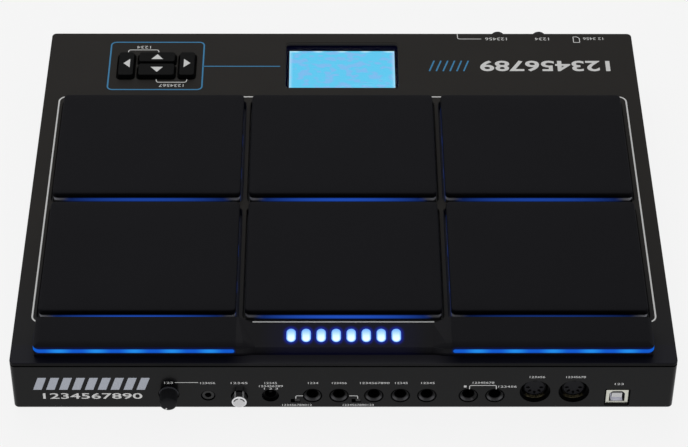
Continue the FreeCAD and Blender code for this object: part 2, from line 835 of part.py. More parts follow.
def led_row(x, depth, length, z, count, spread):
    """Flat board with a row of lamps on top."""
    rear = depth - led_board_w / 2.0
    parts = [centred_block(x, length, rear, rear + led_board_w, z, z + led_board_t)]
    for i in range(count):
        lamp_x = x + spread * (i - (count - 1) / 2.0)
        parts.append(centred_block(lamp_x, led_size, depth - led_size / 2.0, depth + led_size / 2.0,
                                   z + led_board_t, z + led_board_t + led_h))
    return joined(parts)


def edge_led_board():
    """Upright board inside the rim, with its lamps against the lit strip's flange."""
    x0 = flank_outer + strip_flange_in
    x1 = pads_half - strip_flange_out
    high = top_z + strip_low + strip_flange_t
    rear = strip_flange_depth + edge_led_gap
    parts = [block(x0, x1, rear, rear + led_board_t, top_z, high)]
    for i in range(leds_per_strip):
        x = x0 + (x1 - x0) * (i + 0.5) / leds_per_strip
        parts.append(centred_block(x, led_size, rear - edge_led_t, rear, high - edge_led_h, high))
    return joined(parts)


def make_led_boards():
    boards = []
    length = pad_w - 2.0 * (ring_inset + ring_t + led_board_end_gap)
    spread = length / leds_per_strip
    for x, rear in pad_spots:
        for depth in (rear + led_board_edge, rear + pad_d - led_board_edge):
            boards.append(led_row(x, depth, length, tray_top, leds_per_strip, spread))
    board = edge_led_board()
    boards += [board, mirrored(board)]
    boards.append(led_row(0.0, (centre_face + centre_front) / 2.0, light_bars * light_bar_pitch, top_z,
                          light_bars, light_bar_pitch))
    return boards


# Raised rim

def shoulder_point(share):
    """Point this share of the way up the arc from the lit strip to the rim's flat top."""
    run = rim_shoulder - rim_face
    drop = rim_top - strip_high
    radius = (run * run + drop * drop) / (2.0 * drop)
    angle = math.asin(run / radius) * (1.0 - share)
    return rim_shoulder - radius * math.sin(angle), rim_top - radius * (1.0 - math.cos(angle))


def rim_end_plan(inset, z0, z1):
    """Upright prism with the plan of the right half of the rim, from its flank to its rounded end."""
    front = rim_front_foot + 1.0
    plan = slab(-pads_half + inset, pads_half - inset, rim_face + inset, front + 2.0 * rim_corner,
                rim_corner - inset, z0, z1)
    keep = block(flank_outer, pads_half + 1.0, 0.0, front, z0, z1)
    return plan.common(keep)


def strip_band(grow):
    """Lit strip: a band round the rim's outer corner with a flange that reaches in to the lamps."""
    z0 = top_z + strip_low - grow
    z1 = top_z + strip_high + grow
    band = rim_end_plan(0.0, z0, z1).cut(rim_end_plan(strip_t + grow, z0, z1))
    keep = block(flank_outer + strip_end_gap - grow, pads_half + 1.0, 0.0,
                 rim_face + rim_corner + strip_side, z0, z1)
    band = band.common(keep)
    x0 = flank_outer + strip_flange_in
    x1 = pads_half - strip_flange_out
    flange = block(x0 - grow, x1 + grow, rim_face + strip_t / 2.0, strip_flange_depth + grow,
                   top_z + strip_low - grow, top_z + strip_low + strip_flange_t + grow)
    return joined([band, flange])


def side_outline():
    """Section of the full rim: depth and height above the lid."""
    shoulder = [shoulder_point(i / 3.0) for i in range(4)]
    return [(rim_foot, 0.0), (rim_face, strip_low)] + shoulder + [(rim_front, rim_top), (rim_front_foot, 0.0)]


def centre_outline():
    """Section of the low centre, with as many points as the full rim's."""
    slope = (centre_top_front - centre_top_rear) / (centre_front - centre_face)
    step = 0.4
    tops = [(centre_face + step * i, centre_top_rear + step * i * slope) for i in range(4)]
    return [(centre_foot, 0.0), (centre_face, centre_undercut)] + tops + [
        (centre_front, centre_top_front), (centre_front_foot, 0.0)]


def ruled_body(sections):
    """Solid skinned over sections of equally many points, its quads split into triangles."""
    count = len(sections[0])
    faces = []
    for first, second in zip(sections, sections[1:]):
        for i in range(count):
            j = (i + 1) % count
            for triangle in ([first[i], first[j], second[j]], [first[i], second[j], second[i]]):
                faces.append(Part.Face(Part.makePolygon(triangle + triangle[:1])))
    for cap in (sections[0], sections[-1]):
        faces.append(Part.Face(Part.makePolygon(cap + cap[:1])))
    solid = Part.Solid(Part.Shell(faces))
    if solid.Volume < 0.0:
        solid.reverse()
    return solid.removeSplitter()


def flank_section(outline, xs):
    return [V(x, back(d), top_z + h) for x, (d, h) in zip(xs, outline)]


def centre_body(inset):
    """The low centre of the rim with its flanks, hollow but for walls of this thickness."""
    full = side_outline()
    low = centre_outline()
    count = len(full)
    rear_x = flank_outer - 3.9
    full_xs = [rear_x] * (count - 2) + [flank_outer - 0.7, flank_outer - 0.5]
    low_xs = [flank_inner + 1.0] + [flank_inner - 0.3] * (count - 3) + [flank_inner + 0.5, flank_inner + 0.8]
    end_xs = [flank_outer] * count
    right = [flank_section(full, end_xs), flank_section(full, full_xs), flank_section(low, low_xs)]
    left = [[V(-p.x, p.y, p.z) for p in section] for section in right]
    body = ruled_body(left + right[::-1])
    slope = math.atan2(centre_top_front - centre_top_rear, centre_front - centre_face)
    drop = centre_skin / math.cos(slope)
    rise = inset * math.tan(slope)
    pocket = [(centre_foot + inset, -1.0), (centre_face + inset, centre_undercut),
              (centre_face + inset, centre_top_rear + rise - drop),
              (centre_front - inset, centre_top_front - rise - drop), (centre_front_foot - inset, -1.0)]
    return body.cut(profile_prism(pocket, -flank_inner + inset, flank_inner - inset))


def light_frame(shape):
    """Carry a piece from its own flat frame onto the sloping top of the rim's centre."""
    slope = math.degrees(math.atan2(centre_top_front - centre_top_rear, centre_front - centre_face))
    middle = (centre_front + centre_face) / 2.0
    height = (centre_top_front + centre_top_rear) / 2.0
    placed = shape.copy()
    placed.rotate(V(0, 0, 0), V(1, 0, 0), -slope)
    placed.translate(V(0, back(middle), top_z + height))
    return placed


def light_pills(grow, low, high):
    """Row of upright round-ended bars, in the flat frame of the rim's centre."""
    pills = []
    for i in range(light_bars):
        x = light_bar_pitch * (i - (light_bars - 1) / 2.0)
        r = light_bar_w / 2.0 + grow
        reach = light_bar_l / 2.0 - light_bar_w / 2.0
        ends = [Part.makeCylinder(r, high - low, V(x, y, low)) for y in (-reach, reach)]
        bar = Part.makeBox(2.0 * r, 2.0 * reach, high - low, V(x - r, -reach, low))
        pills.append(joined([bar] + ends))
    return pills


def make_centre_light():
    half = light_bars * light_bar_pitch / 2.0
    base = Part.makeBox(2.0 * half, light_bar_l + 2.0 * light_base_margin, light_base_t,
                        V(-half, -light_bar_l / 2.0 - light_base_margin, -centre_skin - light_base_t))
    return light_frame(joined([base] + light_pills(0.0, -centre_skin, 0.0)))


def rim_box_cavity():
    """Room inside the full section of the rim, open to the lid."""
    x0 = flank_outer + rim_wall
    x1 = pads_half - rim_wall - strip_t
    under = strip_low + strip_flange_t
    outline = [(rim_foot + rim_wall, -1.0), (rim_face + strip_t + rim_wall, strip_low - rim_ledge),
               (rim_face + strip_t + rim_wall, under), (rim_front - rim_wall, under),
               (rim_front_foot - rim_wall, -1.0)]
    return profile_prism(outline, x0, x1)


def make_rim_housing():
    under_pad = strip_low + strip_flange_t + rim_plate_t
    outline = [(rim_foot, 0.0), (rim_face, strip_low), (rim_face, under_pad), (rim_front, under_pad),
               (rim_front_foot, 0.0)]
    right = profile_prism(outline, flank_outer, pads_half).common(rim_end_plan(0.0, top_z, top_z + under_pad))
    right = without(right, [strip_band(strip_gap), rim_box_cavity()])
    centre = centre_body(rim_wall)
    bosses = []
    holes = []
    for x, depth in rim_screw_spots:
        high = strip_low + strip_flange_t if abs(x) > flank_outer else centre_top_rear
        bosses.append(post(x, depth, post_r, top_z, top_z + high))
        holes.append(post(x, depth, board_screw_r, top_z, top_z + board_screw_bite))
    housing = joined([centre, right, mirrored(right)] + bosses)
    slots = [light_frame(pill) for pill in light_pills(light_bar_gap, -centre_skin - 2.0, 2.0)]
    return without(housing, slots + holes)


def edge_pad_section(x, low):
    """Closed outline of an edge pad: flat underside, the arc of its shoulder and flat top."""
    corners = [(rim_face, low), shoulder_point(0.0), shoulder_point(0.5), shoulder_point(1.0),
               (rim_front, rim_top), (rim_front, low)]
    foot, rise, bend, crest, front, base = [V(x, back(depth), top_z + high) for depth, high in corners]
    sides = [Part.LineSegment(foot, rise), Part.Arc(rise, bend, crest), Part.LineSegment(crest, front),
             Part.LineSegment(front, base), Part.LineSegment(base, foot)]
    return Part.Wire([side_line.toShape() for side_line in sides])


def make_edge_pad():
    low = strip_low + strip_flange_t + rim_plate_t
    section = Part.Face(edge_pad_section(flank_outer, low))
    body = section.extrude(V(pads_half - flank_outer, 0, 0))
    body = body.common(rim_end_plan(0.0, top_z + low, top_z + rim_top))
    drop = rim_top - strip_high
    radius = (rim_end_bend ** 2 + drop ** 2) / (2.0 * drop)
    bend_x = pads_half - rim_end_bend
    end = rod(bend_x, top_z + rim_top - radius, radius, -2.0, rim_front_foot + 2.0)
    end_box = block(bend_x, pads_half + 1.0, -1.0, rim_front_foot + 1.0, top_z + low - 1.0,
                    top_z + rim_top + 1.0)
    body = body.cut(end_box.cut(end))
    return body.cut(strip_band(strip_gap))


# Display and keys

def make_window():
    grow = window_flange
    flange = slab(-display_half - grow, display_half + grow, display_rear - window_end_flange,
                  display_front + window_end_flange, display_corner, window_low, lid_under)
    gap = window_gap
    raised = slab(-display_half + gap, display_half - gap, display_rear + gap, display_front - gap,
                  display_corner - gap, lid_under, top_z - display_sink)
    return joined([flange, raised])


def make_display_module():
    return slab(-module_half, module_half, display_rear - display_board_margin,
                display_front + display_board_margin, display_corner, display_board_z + board_t, window_low)


def key_switch_top():
    return display_board_z + board_t + switch_h


def make_key(x, depth, width, deep):
    low = lid_under - key_lid_gap
    high = top_z + key_rise
    base = slab(x - width / 2.0, x + width / 2.0, depth - deep / 2.0, depth + deep / 2.0, key_corner, low,
                top_z)
    rings = []
    for inset, z in ((0.0, top_z), (key_draft, high)):
        half = width / 2.0 - inset
        reach = deep / 2.0 - inset
        rings.append(round_outline(x - half, x + half, depth - reach, depth + reach, key_corner - inset, z))
    top = Part.makeLoft(rings, True, True)
    top = top.makeFillet(key_round, edges_at_height(top, high))
    flange = slab(x - width / 2.0 - key_flange, x + width / 2.0 + key_flange,
                  depth - deep / 2.0 - min(key_flange, key_split / 2.0 - 0.1),
                  depth + deep / 2.0 + min(key_flange, key_split / 2.0 - 0.1), key_corner,
                  low - key_flange_t, low)
    stem = post(x, depth, key_stem_r, key_switch_top() - key_stem_in, low - key_flange_t)
    return joined([base, top, flange, stem])


def make_key_switches():
    switches = []
    high = key_switch_top()
    for x, depth, width, deep in key_spots.values():
        rear = depth - switch_w / 2.0
        body = centred_block(x, switch_w, rear, rear + switch_w, high - switch_h, high)
        well = post(x, depth, key_stem_r + key_stem_gap, high - key_stem_in - key_travel - 0.3, high)
        switches.append(body.cut(well))
    return switches


# Knobs, each on its own shaft

def turned(x, z, outline):
    """Solid of revolution about an axis along Y; outline is (depth, radius) from axis to axis."""
    points = [V(x, back(d), z + r) for d, r in outline]
    face = Part.Face(Part.makePolygon(points + points[:1]))
    return face.revolve(V(x, back(0), z), V(0, 1, 0), 360.0)


def make_knob(x, z, wall_depth, outward, reach):
    """Knob that points away from the wall: outward is -1 at the rear and 1 at the front."""
    base = wall_depth - outward * (knob_well - knob_wall_gap)
    tip = wall_depth + outward * reach
    knob = turned(x, z, [(base, 0.0), (base, knob_r + knob_flare), (tip, knob_r), (tip, 0.0)])
    knob = knob.makeFillet(knob_round, edges_at_depth(knob, tip))
    cap = tip - outward * knob_cap_t
    return knob.cut(rod(x, z, shaft_r, min(base, cap), max(base, cap)))


def make_shaft(x, z, wall_depth, outward, reach):
    tip = wall_depth + outward * (reach - knob_cap_t)
    inner = wall_depth - outward * (wall_t + pot_d - pot_floor_t)
    return rod(x, z, shaft_r, min(tip, inner), max(tip, inner))


def make_pot(x, z, wall_depth, outward, board_low, board_high):
    """Potentiometer: body between its board and the wall, bush through the wall, bore for the shaft."""
    face = wall_depth - outward * wall_t
    rear = face - outward * pot_d
    mouth = wall_depth - outward * bush_sink
    body = centred_block(x, pot_w, min(face, rear), max(face, rear), board_low, board_high)
    bush = rod(x, z, bush_r, min(face, mouth), max(face, mouth))
    well = wall_depth - outward * (wall_t + pot_d - pot_floor_t + shaft_back_gap)
    bore = rod(x, z, shaft_r + shaft_gap, min(mouth, well), max(mouth, well))
    return joined([body, bush]).cut(bore)


# Connectors

def make_jack(x, z, wall_depth, outward, z_low, z_high):
    """Quarter-inch jack: body behind the wall, collar in the wall's hole, blind bore."""
    face = wall_depth - outward * wall_t
    rear = face - outward * jack_l
    mouth = wall_depth - outward * jack_sink
    end = mouth - outward * jack_bore_l
    body = centred_block(x, jack_w, min(face, rear), max(face, rear), z_low, z_high)
    collar = rod(x, z, jack_collar_r, min(face, mouth), max(face, mouth))
    collar = collar.makeFillet(jack_mouth, edges_at_depth(collar, mouth))
    bore = rod(x, z, jack_bore_r, min(mouth, end), max(mouth, end))
    funnel = Part.makeCone(jack_bore_r + jack_funnel, jack_bore_r, jack_funnel, V(x, back(mouth), z),
                           V(0, outward, 0))
    return without(joined([body, collar]), [bore, funnel])


def make_jacks():
    jacks = [make_jack(side(s), row_z, 0.0, -1.0, row_z - jack_w / 2.0, jack_board_z) for s in jack_sides]
    jacks.append(make_jack(side(phones_jack_side), front_row_z, case_d, 1.0, volume_board_z + board_t,
                           front_row_z + jack_w / 2.0))
    return jacks


def make_aux():
    x = side(aux_side)
    body = centred_block(x, aux_w, inner_face, inner_face + aux_l, row_z - aux_w / 2.0, jack_board_z)
    collar = rod(x, row_z, aux_collar_r, aux_sink, inner_face)
    collar = collar.makeFillet(jack_mouth, edges_at_depth(collar, aux_sink))
    return joined([body, collar]).cut(rod(x, row_z, aux_bore_r, aux_sink, aux_sink + aux_bore_l))


def make_dc():
    x = side(dc_side)
    body = centred_block(x, dc_w, inner_face, inner_face + dc_l, row_z - dc_w / 2.0, jack_board_z)
    collar = rod(x, row_z, dc_collar_r, dc_sink, inner_face)
    bore = rod(x, row_z, dc_bore_r, dc_sink, dc_sink + dc_bore_l)
    pin = rod(x, row_z, dc_pin_r, dc_pin_sink, dc_sink + dc_bore_l)
    pin = pin.makeFillet(dc_pin_round, edges_at_depth(pin, dc_pin_sink))
    return joined([joined([body, collar]).cut(bore), pin])


def make_power_button():
    x = side(power_side)
    cap = rod(x, power_z, power_r, -power_reach, power_inner)
    cap = cap.makeFillet(power_crown, edges_at_depth(cap, -power_reach))
    stem_end = power_inner + power_travel + power_switch_gap + power_stem_l
    stem = rod(x, power_z, power_stem_r, power_inner, stem_end)
    return joined([cap, stem])


def make_power_switch():
    x = side(power_side)
    front = power_inner + power_travel + power_switch_gap
    well = front + power_stem_l + power_travel + power_well_gap
    body = centred_block(x, power_switch_w, front, front + power_switch_l, power_z - power_switch_w / 2.0,
                         jack_board_z)
    return body.cut(rod(x, power_z, power_stem_r + power_stem_gap, front, well))


def make_din_body(s):
    x = side(s)
    body = centred_block(x, din_w, inner_face, inner_face + din_l, din_z - din_w / 2.0, din_board_z)
    return body.cut(rod(x, din_z, din_throat_r, inner_face, inner_face + din_recess))


def make_din_insert(s):
    """Round core of a DIN socket, with its key and a fan of contact holes."""
    x = side(s)
    end = inner_face + din_recess
    insert = rod(x, din_z, din_insert_r, din_insert_sink, end)
    insert_top = din_z + din_insert_r
    key = centred_block(x, din_key_w, din_insert_sink, end, insert_top - din_key_h, insert_top + 1.0)
    cutters = [key]
    for i in range(din_pins):
        angle = math.radians(180.0 + 180.0 * i / (din_pins - 1))
        cutters.append(rod(x + din_pin_circle_r * math.cos(angle), din_z + din_pin_circle_r * math.sin(angle),
                           din_pin_hole_r, din_insert_sink, end - din_pin_floor))
    return insert.cut(cutters)


def make_usb():
    x = side(usb_side)
    end = inner_face + usb_l
    shell_top = usb_z + usb_tall / 2.0
    shell = centred_block(x, usb_w, usb_sink, end, usb_z - usb_tall / 2.0, shell_top)
    tab = centred_block(x, usb_w, inner_face + usb_tab_inset, end, shell_top, usb_board_z)
    half = usb_mouth_w / 2.0
    low = usb_z - usb_mouth_h / 2.0
    high = usb_z + usb_mouth_h / 2.0
    bevel = usb_mouth_bevel
    y = back(usb_sink)
    corners = [V(x - half, y, low), V(x + half, y, low), V(x + half, y, high - bevel),
               V(x + half - bevel, y, high), V(x - half + bevel, y, high), V(x - half, y, high - bevel)]
    mouth = Part.Face(Part.makePolygon(corners + corners[:1])).extrude(V(0, -usb_mouth_l, 0))
    tongue = centred_block(x, usb_tongue_w, usb_sink + usb_tongue_sink, usb_sink + usb_mouth_l,
                           usb_z - usb_tongue_h / 2.0, usb_z + usb_tongue_h / 2.0)
    return joined([joined([shell, tab]).cut(mouth), tongue])


def make_sd():
    x = side(sd_side)
    low = volume_board_z + board_t
    body = centred_block(x, sd_w, front_inner - sd_l, front_inner, low, low + sd_tall)
    middle = low + sd_tall / 2.0
    return body.cut(centred_block(x, sd_slot_w, front_inner - sd_l + sd_end_t, front_inner,
                                  middle - sd_slot_h / 2.0, middle + sd_slot_h / 2.0))


def make_slide_switch(s):
    x = side(s)
    z = foot_h + slide_h
    low = z - slide_body_h / 2.0
    end = inner_face + slide_body_l
    body = centred_block(x, slide_w, inner_face, end, low, low + slide_body_h)
    channel = centred_block(x, slide_slot_w, inner_face, end - slide_floor_t, z - slide_slot_h / 2.0,
                            z + slide_slot_h / 2.0)
    leg = centred_block(x, slide_w - 2.0 * slide_leg_inset, end - slide_leg_t, end, low + slide_body_h,
                        jack_board_z)
    return joined([body.cut(channel), leg])


def make_slide_lever(s):
    x = side(s) - slide_travel / 2.0
    z = foot_h + slide_h
    end = inner_face + slide_body_l - slide_floor_t - slide_lever_gap
    return centred_block(x, slide_lever_w, slide_lever_sink, end,
                         z - slide_lever_h / 2.0, z + slide_lever_h / 2.0)


# Boards and ribbons

def boss_clearance(z):
    """Holes that let the case bosses pass a board."""
    return [post(x, depth, boss_r + board_hole_gap, z, z + board_t) for x, depth in case_boss_spots]


def screw_clearance(spots, z):
    return [post(x, depth, board_screw_r + screw_hole_gap, z, z + board_t) for x, depth in spots]


def make_io_boards():
    boards = []
    plans = [
        (jack_board_x0, jack_board_x1, jack_board_front, jack_board_z, jack_post_spots),
        (din_board_x0, din_board_x1, inner_face + din_l + board_post_room, din_board_z, din_post_spots),
        (usb_board_x0, usb_board_x1, inner_face + usb_l + board_post_room, usb_board_z, usb_post_spots),
    ]
    for x0, x1, front, z, spots in plans:
        board = block(x0, x1, inner_face + board_wall_gap, front, z, z + board_t)
        boards.append(without(board, boss_clearance(z) + screw_clearance(spots, z)))
    board_top = jack_board_z + board_t
    header = centred_block(io_ribbon_x, header_w, io_header_depth, io_header_depth + header_d, board_top,
                           board_top + header_h)
    boards[0] = joined([boards[0], header])
    return boards


def make_front_boards():
    z = display_board_z
    display = block(display_board_x0, display_board_x1, display_rear - display_board_margin,
                    display_front + display_board_margin, z, z + board_t)
    display = without(display, boss_clearance(z) + screw_clearance(display_post_spots, z))
    socket_rear = display_rear + display_header_inset
    socket = centred_block(display_ribbon_x, header_w, socket_rear, socket_rear + header_d, z - header_h, z)
    z = volume_board_z
    volume = block(volume_board_x0, volume_board_x1, volume_board_rear, front_inner - board_wall_gap, z,
                   z + board_t)
    volume = without(volume, boss_clearance(z) + screw_clearance(volume_post_spots, z))
    socket_rear = volume_board_rear + volume_header_inset
    volume_socket = centred_block(volume_ribbon_x, header_w, socket_rear, socket_rear + header_d, z + board_t,
                                  z + board_t + header_h)
    return [joined([display, socket]), joined([volume, volume_socket])]


def ribbon(x, points):
    """Flat cable that runs square from point to point, each given as (depth, z) on its middle line."""
    half = ribbon_t / 2.0
    runs = []
    for (d0, z0), (d1, z1) in zip(points, points[1:]):
        runs.append(centred_block(x, ribbon_w, min(d0, d1) - half, max(d0, d1) + half, min(z0, z1) - half,
                                  max(z0, z1) + half))
    return joined(runs)


main_top = main_board_z + board_t
header_top = main_top + header_h
volume_ribbon_x = side(phones_knob_side) - volume_ribbon_shift
io_ribbon_x = side(jack_sides[4])
header_front = main_front - header_inset
header_rear = main_rear + header_inset


# Each chip: x, depth from the board's middle, width, depth and height
chips = [(-60.0, 0.0, 24.0, 24.0, 2.2), (-20.0, 30.0, 14.0, 20.0, 2.0), (40.0, 10.0, 20.0, 14.0, 2.0),
         (80.0, -24.0, 16.0, 16.0, 3.0)]
capacitor_xs = (62.0, 74.0, 86.0)
capacitor_inset = 24.0
capacitor_r = 4.0
capacitor_h = 9.0


def make_main_board():
    board = block(-main_board_w / 2.0, main_board_w / 2.0, main_rear, main_front, main_board_z, main_top)
    board = without(board, boss_clearance(main_board_z) + screw_clearance(main_post_spots, main_board_z))
    parts = [board]
    for x, depth in ((display_ribbon_x, header_front), (volume_ribbon_x, header_front),
                     (io_ribbon_x, header_rear), (led_ribbon_x, led_ribbon_depth)):
        rear = depth - header_d / 2.0
        parts.append(centred_block(x, header_w, rear, rear + header_d, main_top, header_top))
    middle = (main_rear + main_front) / 2.0
    for x, depth, width, deep, high in chips:
        rear = middle + depth - deep / 2.0
        parts.append(centred_block(x, width, rear, rear + deep, main_top, main_top + high))
    for x in capacitor_xs:
        parts.append(post(x, main_front - capacitor_inset, capacitor_r, main_top, main_top + capacitor_h))
    return joined(parts)


def make_ribbons():
    half = ribbon_t / 2.0
    start = header_top + half
    display_low = display_board_z - header_h - half
    volume_top = volume_board_z + board_t + header_h + half
    io_top = jack_board_z + board_t + header_h + half
    display_end = display_rear + display_header_inset + header_d - half
    volume_end = volume_board_rear + volume_header_inset + header_d - half
    io_end = io_header_depth + 1.0
    front = header_front
    return [
        ribbon(display_ribbon_x, [(front, start), (front, display_low), (display_end, display_low)]),
        ribbon(volume_ribbon_x, [(front, start), (front, volume_top), (volume_end, volume_top)]),
        ribbon(io_ribbon_x, [(header_rear, start), (header_rear, io_top), (io_end, io_top)]),
        ribbon(led_ribbon_x, [(led_ribbon_depth, start), (led_ribbon_depth, tray_top - half)]),
    ]


# Build

save("top_cover", make_top_cover())
save("bottom_case", make_bottom_case())
save("rubber_feet", make_feet())
save("case_screws", make_case_screws())
save("board_screws", make_board_screws())
save("stand_inserts", make_stand_inserts())

for number, (pad_x, pad_rear) in enumerate(pad_spots, 1):
    save("pad_%d" % number, make_pad(pad_x, pad_rear))
    save("pad_plate_%d" % number, make_plate(pad_x, pad_rear))

save("light_rings", [make_ring(x, rear) for x, rear in pad_spots])
save("pad_foams", make_foams())
save("pad_sensors", make_sensors())
save("pad_tray", make_tray())
save("led_boards", make_led_boards())

save("rim_housing", make_rim_housing())
save("rim_centre_light", make_centre_light())
save("edge_pad_right", make_edge_pad())
save("edge_pad_left", mirrored(make_edge_pad()))
save("edge_strip_right", strip_band(0.0))
save("edge_strip_left", mirrored(strip_band(0.0)))

save("display_window", make_window())
save("display_module", make_display_module())
for name, spot in key_spots.items():
    save(name, make_key(*spot))
save("key_switches", make_key_switches())

knobs = {
    "aux": (side(rear_knob_side), rear_knob_z, 0.0, -1.0, rear_knob_reach),
    "phones": (side(phones_knob_side), front_row_z, case_d, 1.0, front_knob_reach),
    "main": (side(main_knob_side), front_row_z, case_d, 1.0, front_knob_reach),
}
for name, spot in knobs.items():
    save(name + "_knob", make_knob(*spot))
    save(name + "_shaft", make_shaft(*spot))
save("volume_pots", [
    make_pot(*knobs["aux"][:4], row_z - pot_w / 2.0, jack_board_z),
    make_pot(*knobs["phones"][:4], volume_board_z + board_t, front_row_z + pot_w / 2.0),
    make_pot(*knobs["main"][:4], volume_board_z + board_t, front_row_z + pot_w / 2.0),
])

save("jack_sockets", make_jacks())
save("aux_socket", make_aux())
save("dc_socket", make_dc())
save("power_button", make_power_button())
save("power_switch", make_power_switch())
save("midi_sockets", [make_din_body(s) for s in din_sides])
save("midi_inserts", [make_din_insert(s) for s in din_sides])
save("usb_socket", make_usb())
save("card_socket", make_sd())
save("slide_switches", [make_slide_switch(s) for s in slide_sides])
save("kick_switch_lever", make_slide_lever(slide_sides[0]))
save("hihat_switch_lever", make_slide_lever(slide_sides[1]))

save("main_board", make_main_board())
save("io_boards", make_io_boards())
save("front_boards", make_front_boards())
save("ribbon_cables", make_ribbons())
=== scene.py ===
"""Sampling drum pad: finishes, prints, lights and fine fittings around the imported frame."""

import math

import bmesh
import bpy
from bpy.props import FloatProperty, FloatVectorProperty, IntProperty, PointerProperty
from mathutils import Matrix, Vector


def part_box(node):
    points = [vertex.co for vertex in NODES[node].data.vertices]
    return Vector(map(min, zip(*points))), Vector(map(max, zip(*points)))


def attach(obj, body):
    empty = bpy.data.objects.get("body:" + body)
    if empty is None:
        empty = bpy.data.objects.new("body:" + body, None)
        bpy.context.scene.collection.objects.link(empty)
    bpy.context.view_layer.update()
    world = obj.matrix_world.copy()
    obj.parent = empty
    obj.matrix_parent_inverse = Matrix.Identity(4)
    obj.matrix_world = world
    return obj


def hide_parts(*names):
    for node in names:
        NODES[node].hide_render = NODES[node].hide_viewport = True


bl_info = {
    "name": "Sampling drum pad",
    "version": (1, 0, 0),
    "blender": (4, 5, 0),
    "location": "View3D > Sidebar > Drum Pad",
    "description": "Finishes, prints, lights and fittings of a sampling drum pad",
    "category": "Object",
}

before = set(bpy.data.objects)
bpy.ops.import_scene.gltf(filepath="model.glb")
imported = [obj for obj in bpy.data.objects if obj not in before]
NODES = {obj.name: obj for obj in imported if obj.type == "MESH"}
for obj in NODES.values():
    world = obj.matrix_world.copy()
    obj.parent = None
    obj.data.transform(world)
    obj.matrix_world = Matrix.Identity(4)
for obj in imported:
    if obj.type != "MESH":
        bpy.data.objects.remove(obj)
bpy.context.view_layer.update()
MM = 0.001
LID_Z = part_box("top_cover")[1].z
TUB_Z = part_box("bottom_case")[0].z
WALL_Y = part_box("bottom_case")[1].y
PAD_NAMES = ["pad_%d" % number for number in range(1, 7)]
BARS = 8
USB_MIDDLE = 5.45 * MM
BLACK = (0.0, 0.0, 0.0, 1.0)
NEAR_BLACK = (0.02, 0.02, 0.02)
DARK_CLOUD = 0.75
LIGHT_CLOUD = 1.25
STEEL = (0.5, 0.5, 0.5)


def length(name, description, millimetres):
    return FloatProperty(name=name, description=description, default=millimetres * MM, subtype="DISTANCE",
                         unit="LENGTH", precision=5)


def colour(name, description, red, green, blue):
    return FloatVectorProperty(name=name, description=description, default=(red, green, blue), size=3,
                               subtype="COLOR", min=0.0, max=1.0)


def share(name, description, default):
    return FloatProperty(name=name, description=description, default=default, min=0.0, max=1.0,
                         subtype="FACTOR", precision=4)


def amount(name, description, default):
    return FloatProperty(name=name, description=description, default=default, min=0.0, precision=3)


def angle(name, description, degrees):
    return FloatProperty(name=name, description=description, default=math.radians(degrees), subtype="ANGLE",
                         precision=5)


# Settings

class StageSettings(bpy.types.PropertyGroup):
    floor_colour: colour("Floor", "Colour of the floor", 0.94, 0.94, 0.94)
    floor_glow: share("Floor glow", "Share of the floor's brightness that no shadow darkens", 0.93)
    floor_half: length("Floor reach", "Half the side of the square floor", 6000.0)
    world_colour: colour("Surroundings", "Colour of the room that shows and that gloss reflects",
                         0.92, 0.92, 0.92)
    world_light: share("Room light", "How much of the room's colour lights the object", 0.4)
    lamp_power: amount("Lamp power", "Power of the overhead lamp, in watts", 9.0)
    camera_side: length("Camera side", "Camera's offset towards the player's right", 7.57)
    camera_back: length("Camera distance", "Camera behind the connector wall", 943.18)
    camera_up: length("Camera height", "Camera above the lid", 960.49)
    camera_pitch: angle("Camera pitch", "How far the camera looks down", 42.319)
    camera_yaw: angle("Camera yaw", "How far the camera is turned from the case's axis", 0.443)
    camera_roll: angle("Camera roll", "Tilt of the camera about its own axis", -0.311)
    focal: length("Focal length", "Focal length on a 36 mm wide sensor", 130.81)


class ShellSettings(bpy.types.PropertyGroup):
    lid: colour("Lid", "Colour of the lid", 0.0150, 0.0134, 0.0118)
    # Painted shade: the lid's colour towards the connector wall, darker and cooler where less light falls.
    lid_rear_painted_shade: colour("Lid rear", "Colour of the lid towards the connector wall", 0.0096, 0.0097, 0.0108)
    tub: colour("Tub", "Colour of the tub with the connector wall", 0.0034, 0.0035, 0.0039)
    rim: colour("Rim", "Colour of the raised rim", 0.0048, 0.0046, 0.0062)
    rubber: colour("Rubber", "Colour of the playing surfaces", 0.0050, 0.0050, 0.0066)
    keys: colour("Keys", "Colour of the four keys", 0.0025, 0.0025, 0.0026)
    knobs: colour("Knobs", "Colour of the knobs", 0.0120, 0.0123, 0.0140)
    sockets: colour("Sockets", "Colour of the sockets' plastic", 0.0015, 0.0015, 0.0017)
    insert: colour("Inserts", "Colour of the DIN sockets' faces", 0.0072, 0.0072, 0.0095)
    collars: colour("Collars", "Colour of the jack sockets' collars", 0.008, 0.008, 0.0085)
    grain: length("Grain", "Size of the moulded grain", 0.42)
    relief: length("Relief", "Depth of the moulded grain", 0.012)
    cloud: length("Cloud", "Size of the broad unevenness of a surface", 34.0)


